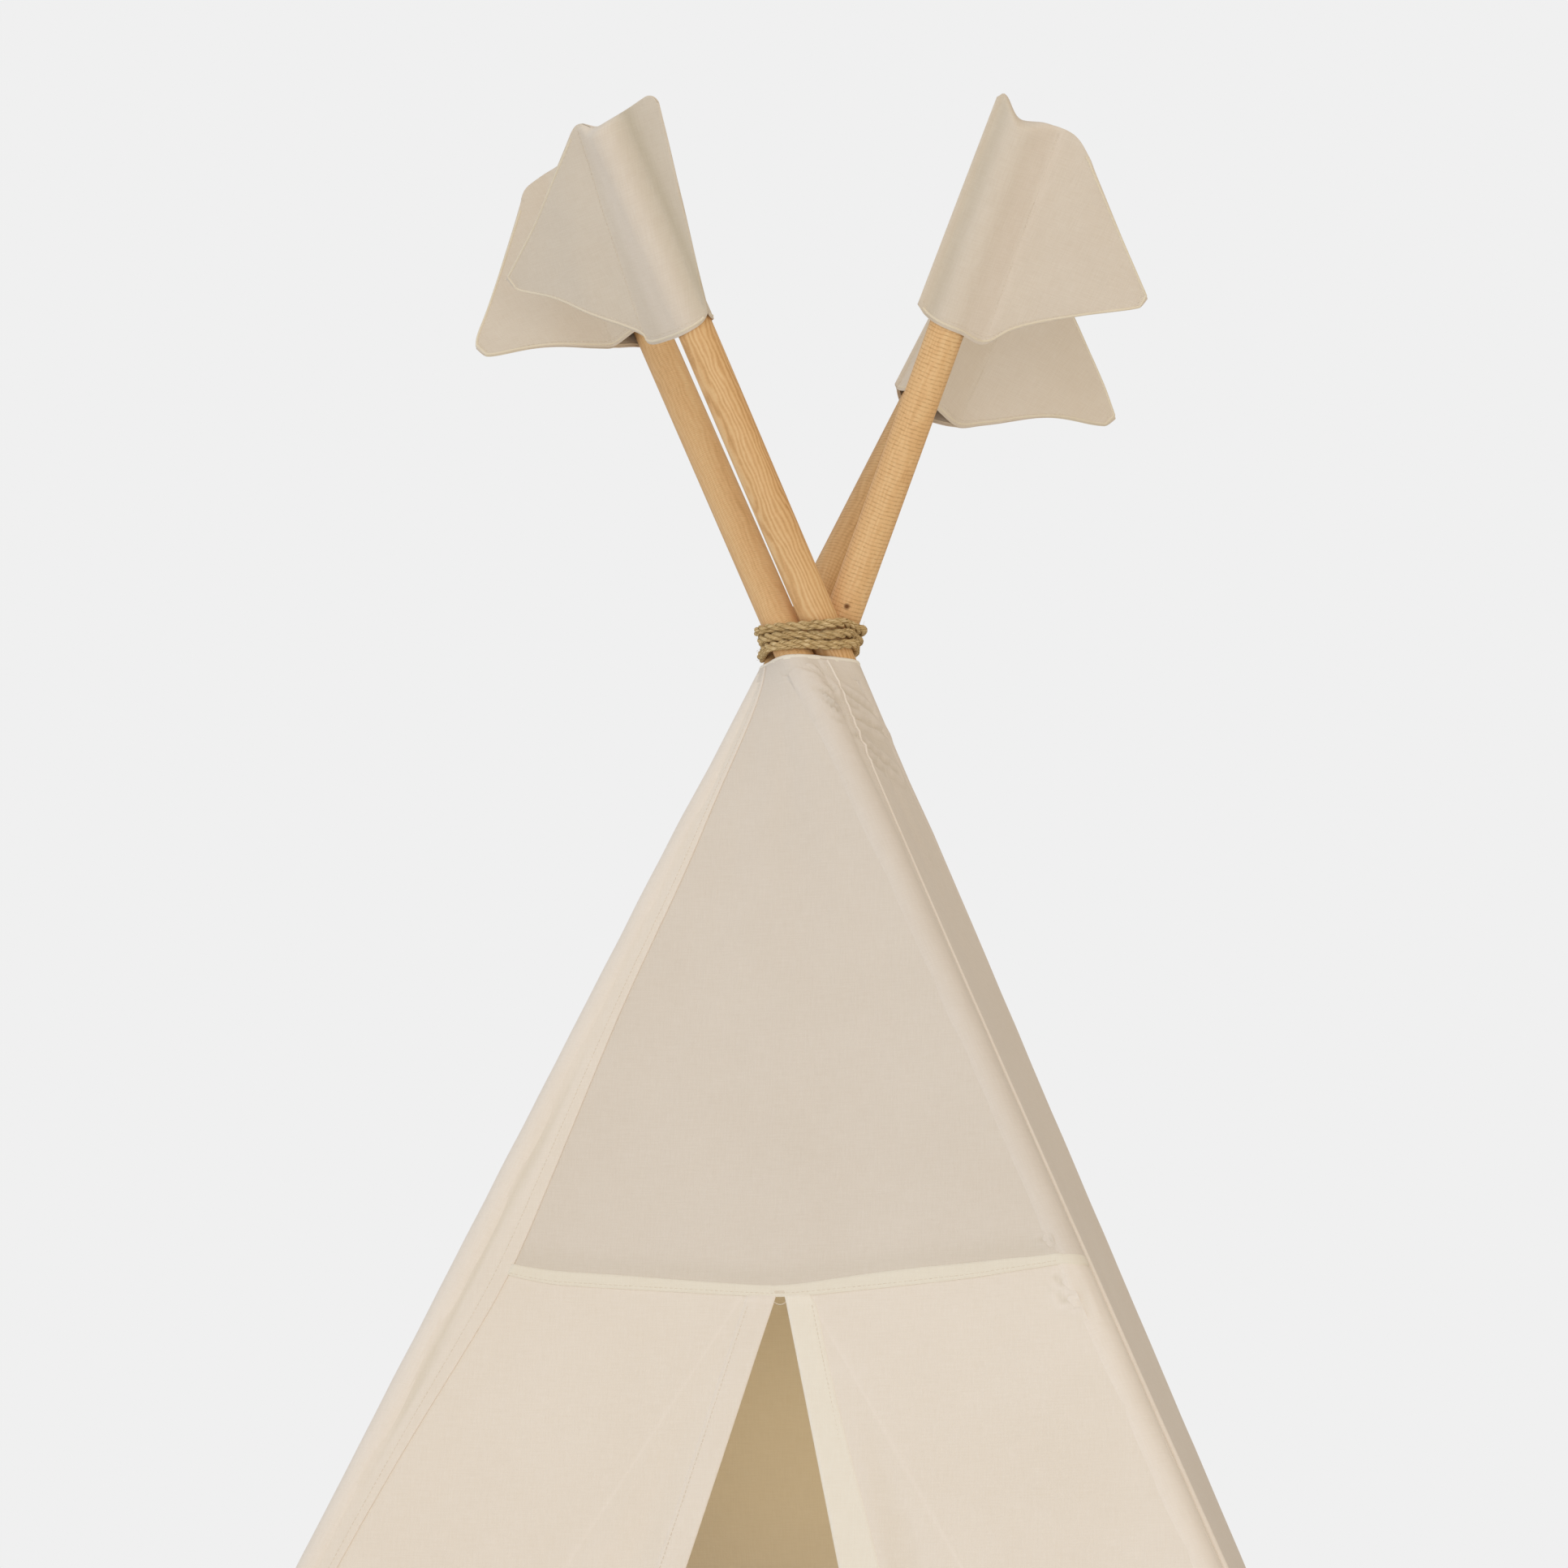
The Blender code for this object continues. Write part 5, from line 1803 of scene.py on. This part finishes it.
@dataclass(frozen=True)
class Flag:
    """One flag: two layers of canvas sewn into an envelope that slips over a pole's tip."""

    shape: FlagShape
    canvas: Material
    rim_canvas: Material
    stitches: Stitches
    cloth: float = 0.9 * MM
    pole_ease: float = 0.9 * MM
    tight: float = 17.5 * MM
    rim: float = 1.0 * MM
    closing: float = 5.5 * MM
    fold: float = 0.62 * MM
    curl: float = 4.0 * MM
    columns: int = 64
    rows: int = 54

    @property
    def node(self) -> str:
        """Return the name of the flag's body and CAD node."""
        return f"flag_{self.shape.corner.value}"

    def plane(self) -> tuple[Array, Array, Array, Array]:
        """Return the pole's tip, and the ways out along the flag, up it and square to it.

        Returns:
            The four of them.
        """
        pole = POLES[self.shape.corner]
        _, tip = pole.span(f"pole_{self.shape.corner.value}_upper")
        lean = Vector((math.copysign(1, pole.way.x), 0, 0))
        angle = math.atan2(lean.dot(pole.outward), lean.dot(pole.across)) + math.radians(self.shape.swing)
        tail = np.array(pole.across * math.cos(angle) + pole.outward * math.sin(angle))
        return pole.at(tip), tail, np.array(pole.way), np.cross(np.array(pole.way), tail)

    def outline(self, across: Array, up: Array) -> tuple[Array, Array]:
        """Return the places in the flag's plane for shares across it and up it, in metres.

        Args:
            across: Shares across the flag, from the pole.
            up: Shares up it.

        Returns:
            How far out and how far up.
        """
        low, high = bend_line(self.shape.low, across), bend_line(self.shape.high, across)
        flat = (low + (high - low) * up[..., None]) * MM
        return flat[..., 0], flat[..., 1]

    def seam(self, up: Array) -> Array:
        """Return how far out the channel's seam is at shares up the flag."""
        return (self.shape.seam_low + (self.shape.seam_high - self.shape.seam_low) * up) * MM

    def depth(self, out: Array, up: Array, top: Array, edge: Array, seam: Array) -> Array:
        """Return how far each layer stands from the flag's own plane.

        Args:
            out: How far out from the pole's axis.
            up: How far up from the pole's tip.
            top: How far up the closed top edge is there.
            edge: Where the channel's folded edge is, on the other side of the axis.
            seam: Where the channel's seam is.

        Returns:
            The distance from the plane to each layer's middle.
        """
        round_to = POLE_RADIUS + self.pole_ease + self.cloth / 2
        half = np.maximum(np.where(out < 0, np.minimum(-edge, self.tight), seam), round_to * 1.02)
        distance = np.abs(out)
        arc = np.sqrt(np.clip(round_to ** 2 - distance ** 2, 0, None))
        straight = (half - distance) * round_to / np.sqrt(half ** 2 - round_to ** 2)
        taut = np.where(distance < round_to ** 2 / half, arc, np.clip(straight, 0, None))
        # Both the closed top and the folded edge are rounded
        by_top, by_fold = (np.sqrt(1 - (1 - np.clip(gap / reach, 0, 1)) ** 2)
                           for gap, reach in ((top - up, self.closing), (out - edge, self.fold)))
        return np.maximum(taut * by_top, self.fold * by_fold)

    def lay(self, across: Array, up: Array, side: Array, lift: float = 0.0) -> Array:
        """Return places on the flag for shares across and up; side is 1 in front and -1 behind.

        Args:
            across: Shares across the flag, from the pole.
            up: Shares up it.
            side: 1 in front and -1 behind.
            lift: How far outside the cloth's middle.

        Returns:
            The places.
        """
        out, rise = self.outline(across, up)
        _, top = self.outline(across, np.ones_like(up))
        edge, _ = self.outline(np.zeros_like(across), up)
        seam, seed = self.seam(up), self.shape.seed
        depth = self.depth(out, rise, top, edge, seam) + lift
        free = smooth_step(out, 0.5 * seam, seam + 50 * MM)
        wave = self.curl * np.sin(out / (26 * MM) + rise / (45 * MM) + seed) * free
        crumple = ripple(np.stack([out, rise], -1), 42 * MM, seed + 50) * 1.1 * MM
        own = ripple(np.stack([out, rise, side * 0.05], -1), 30 * MM, seed + 60) * 0.35 * MM
        shift = wave + crumple * (0.25 + free) + own * np.abs(side)
        tip, tail, way, face = self.plane()
        return tip + out[..., None] * tail + rise[..., None] * way + face * (depth * side + shift)[..., None]

    def leaves(self) -> None:
        """Make the flag's cloth: both leaves, folded over the pole's tip."""
        turn = np.linspace(-1, 1, 2 * self.columns + 1)
        across, up = np.meshgrid(np.abs(turn) ** 1.3, closer_to_one(self.rows + 1, 1.6))
        place = self.lay(across, up, np.broadcast_to(np.sign(-turn), across.shape).astype(float))
        normal = unit(np.cross(np.gradient(place, axis=1), np.gradient(place, axis=0)))
        middle = self.rows // 2
        if normal[middle, self.columns // 4] @ self.plane()[3] < 0:
            normal = -normal
        run = run_along(place[middle])
        out, rise = self.outline(across, up)
        shell = sheet_shell(place, normal, np.stack(np.broadcast_arrays(run, rise), -1), self.cloth)
        obj = make_object(f"{self.node}_cloth", shell, self.canvas, 70)
        dress(obj, self.node, [self.node])
        # Painted shade and painted highlight, in strips along the flag
        at, shade = np.array(self.shape.shade, float).T
        values = np.interp(out.ravel(), at * MM, shade)
        tone_down(obj, np.concatenate([values, values]))

    def rims(self) -> None:
        """Make the turned edges, which stand a little proud along the bottom, the tail and the top; their
        paler canvas is partly painted highlight.
        """
        count, low, high = 90, 0.014, 0.985
        tail_share = 0.988
        bottom = (np.linspace(0.03, tail_share, count), np.full(count, low))
        tail = (np.full(count // 2, tail_share), np.linspace(low, high, count // 2))
        top = (np.linspace(tail_share, 0.42, count), np.full(count, high))
        share, height = (np.concatenate([part[k] for part in (bottom, tail, top)]) for k in (0, 1))
        for face, word in ((1.0, "front"), (-1.0, "rear")):
            path = self.lay(share, height, np.full(share.shape, face), self.cloth / 2 - 0.45 * self.rim)
            shell = tube_shell(even_points(path, 240), self.rim, 8)
            dress(make_object(f"{self.node}_rim_{word}", shell, self.rim_canvas), self.node)

    def sew(self) -> None:
        """Sew the channel beside the pole, the bottom edge and the tail."""
        line = np.linspace(0.02, 0.97, 80)
        probe = np.linspace(0, 1, 200)
        wanted = [np.interp(goal, self.outline(probe, np.full(200, up))[0], probe)
                  for up, goal in zip(line, self.seam(line))]
        runs = {
            "channel": (np.array(wanted), line),
            "bottom": (line, np.full(80, 0.035)),
            "tail": (np.full(60, 0.965), np.linspace(0.03, 0.95, 60)),
        }
        for name, (share, height) in runs.items():
            for face, word in ((1.0, "front"), (-1.0, "rear")):
                places = self.lay(share, height, np.full(share.shape, face), self.cloth / 2 + 0.1 * MM)
                obj = self.stitches.run(f"{self.node}_{name}_{word}_stitches", places)
                dress(obj, self.node)

    def build(self) -> None:
        """Make the whole flag."""
        self.leaves()
        self.rims()
        self.sew()


# The studio


@dataclass(frozen=True)
class Studio:
    """Camera, floor and light."""

    camera_place: tuple[float, float, float] = (0.3325, -3.184, 0.532)
    camera_yaw: float = 5.962
    camera_pitch: float = 10.973
    lens: float = 110.44
    shift_x: float = -0.0163
    paper: str = "#f0f0f0"
    warm: str = "#fae6c8"
    even_glow: float = 0.695
    front_gain: float = 0.20
    floor_half: float = 4.0

    def camera(self) -> None:
        """Put the camera where the photograph was taken from."""
        data = bpy.data.cameras.new("camera")
        data.sensor_width = 36
        data.lens = self.lens
        data.shift_x = self.shift_x
        camera = place_in_scene("camera", data)
        camera.location = self.camera_place
        camera.rotation_euler = (math.radians(90 + self.camera_pitch), 0, math.radians(self.camera_yaw))
        bpy.context.scene.camera = camera

    def surroundings(self) -> None:
        """Make the pale surroundings, even to the camera and a little warmer from the right."""
        world = bpy.data.worlds.new("pale studio")
        world.use_nodes = True
        add, nodes = partial(add_node, world.node_tree), world.node_tree.nodes
        set_inputs(nodes["Background"], Color=srgb(self.paper))
        look = add("ShaderNodeTexCoord", out="Generated")
        front = add(VECTOR_MATH, look, (-0.25, -0.95, -0.15), operation="DOT_PRODUCT", out="Value")
        level = add(MATH, front, self.front_gain, self.even_glow, operation="MULTIPLY_ADD")
        beside = add("ShaderNodeSeparateXYZ", look, out="X")
        beside = add(MATH, beside, 0.5, 0.5, operation="MULTIPLY_ADD")
        warm = add(RAMP, beside, stops=((0.45, "#ffffff"), (0.9, self.warm)))
        glow = add("ShaderNodeBackground", Color=warm, Strength=level)
        seen = add("ShaderNodeLightPath", out="Is Camera Ray")
        both = add("ShaderNodeMixShader", seen, glow, nodes["Background"].outputs["Background"])
        set_inputs(nodes["World Output"], Surface=both)
        bpy.context.scene.world = world

    def floor(self) -> None:
        """Lay the floor's pale paper."""
        half = self.floor_half
        corners = np.array([(-half, -half, -MM), (half, -half, -MM), (half, half, -MM), (-half, half, -MM)])
        shell = Shell(corners, [(0, 1, 2, 3)], np.zeros((4, 2)))
        make_object("floor", shell, PAPER_FLOOR.material())

    def light(self) -> None:
        """Light the object softly from the front, and its inside with a glow as through the cloth."""
        key = bpy.data.lights.new("key", "AREA")
        key.size = 1.3
        key.energy = 13
        lamp = place_in_scene("key", key)
        lamp.location = (0.4, -3.1, 0.9)
        lamp.rotation_euler = (Vector((0, 0, 1.1)) - lamp.location).to_track_quat("-Z", "Y").to_euler()
        glow = bpy.data.lights.new("inner glow", "POINT")
        glow.shadow_soft_size = 0.15
        glow.energy = 1.0
        glow.color = srgb("#ffedbf")[:3]
        lamp = place_in_scene("inner glow", glow)
        lamp.location = (0, 0.02, 0.62)
        lamp.visible_camera = False

    def build(self) -> None:
        """Set up the whole studio."""
        bpy.context.scene.view_settings.view_transform = "Standard"
        self.camera()
        self.surroundings()
        self.floor()
        self.light()


def main() -> None:
    """Dress the teepee."""
    logging.basicConfig(level=logging.INFO, format="%(name)s: %(message)s")
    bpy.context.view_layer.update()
    Studio().build()
    single = CottonCanvas("undyed cotton canvas", "#e8dfd4", "#ddd2c4").material()
    doubled = CottonCanvas("doubled cotton canvas", "#f3eadf", "#eadfd0").material()
    turned = CottonCanvas("turned cotton canvas", "#f6f0e3", "#efe6d6").material()
    flag_canvas = CottonCanvas("flag canvas", "#e8decf", "#daccb9").material()
    # The flags' turned edges get a paler canvas: partly the paler tone of the hem's extra layers, partly
    # painted highlight along the edges
    flag_rim_and_highlight = CottonCanvas("turned flag canvas", "#f0e6d2", "#e6d9c0").material()
    stitches = Stitches(THREAD.material())
    Frame(PineWood(), STEEL.material()).build()
    Cover(single, doubled, turned, stitches).build()
    Lashing(JuteRope().material()).build()
    for shape in FLAG_SHAPES:
        Flag(shape, flag_canvas, flag_rim_and_highlight, stitches).build()


if __name__ == "__main__":
    main()
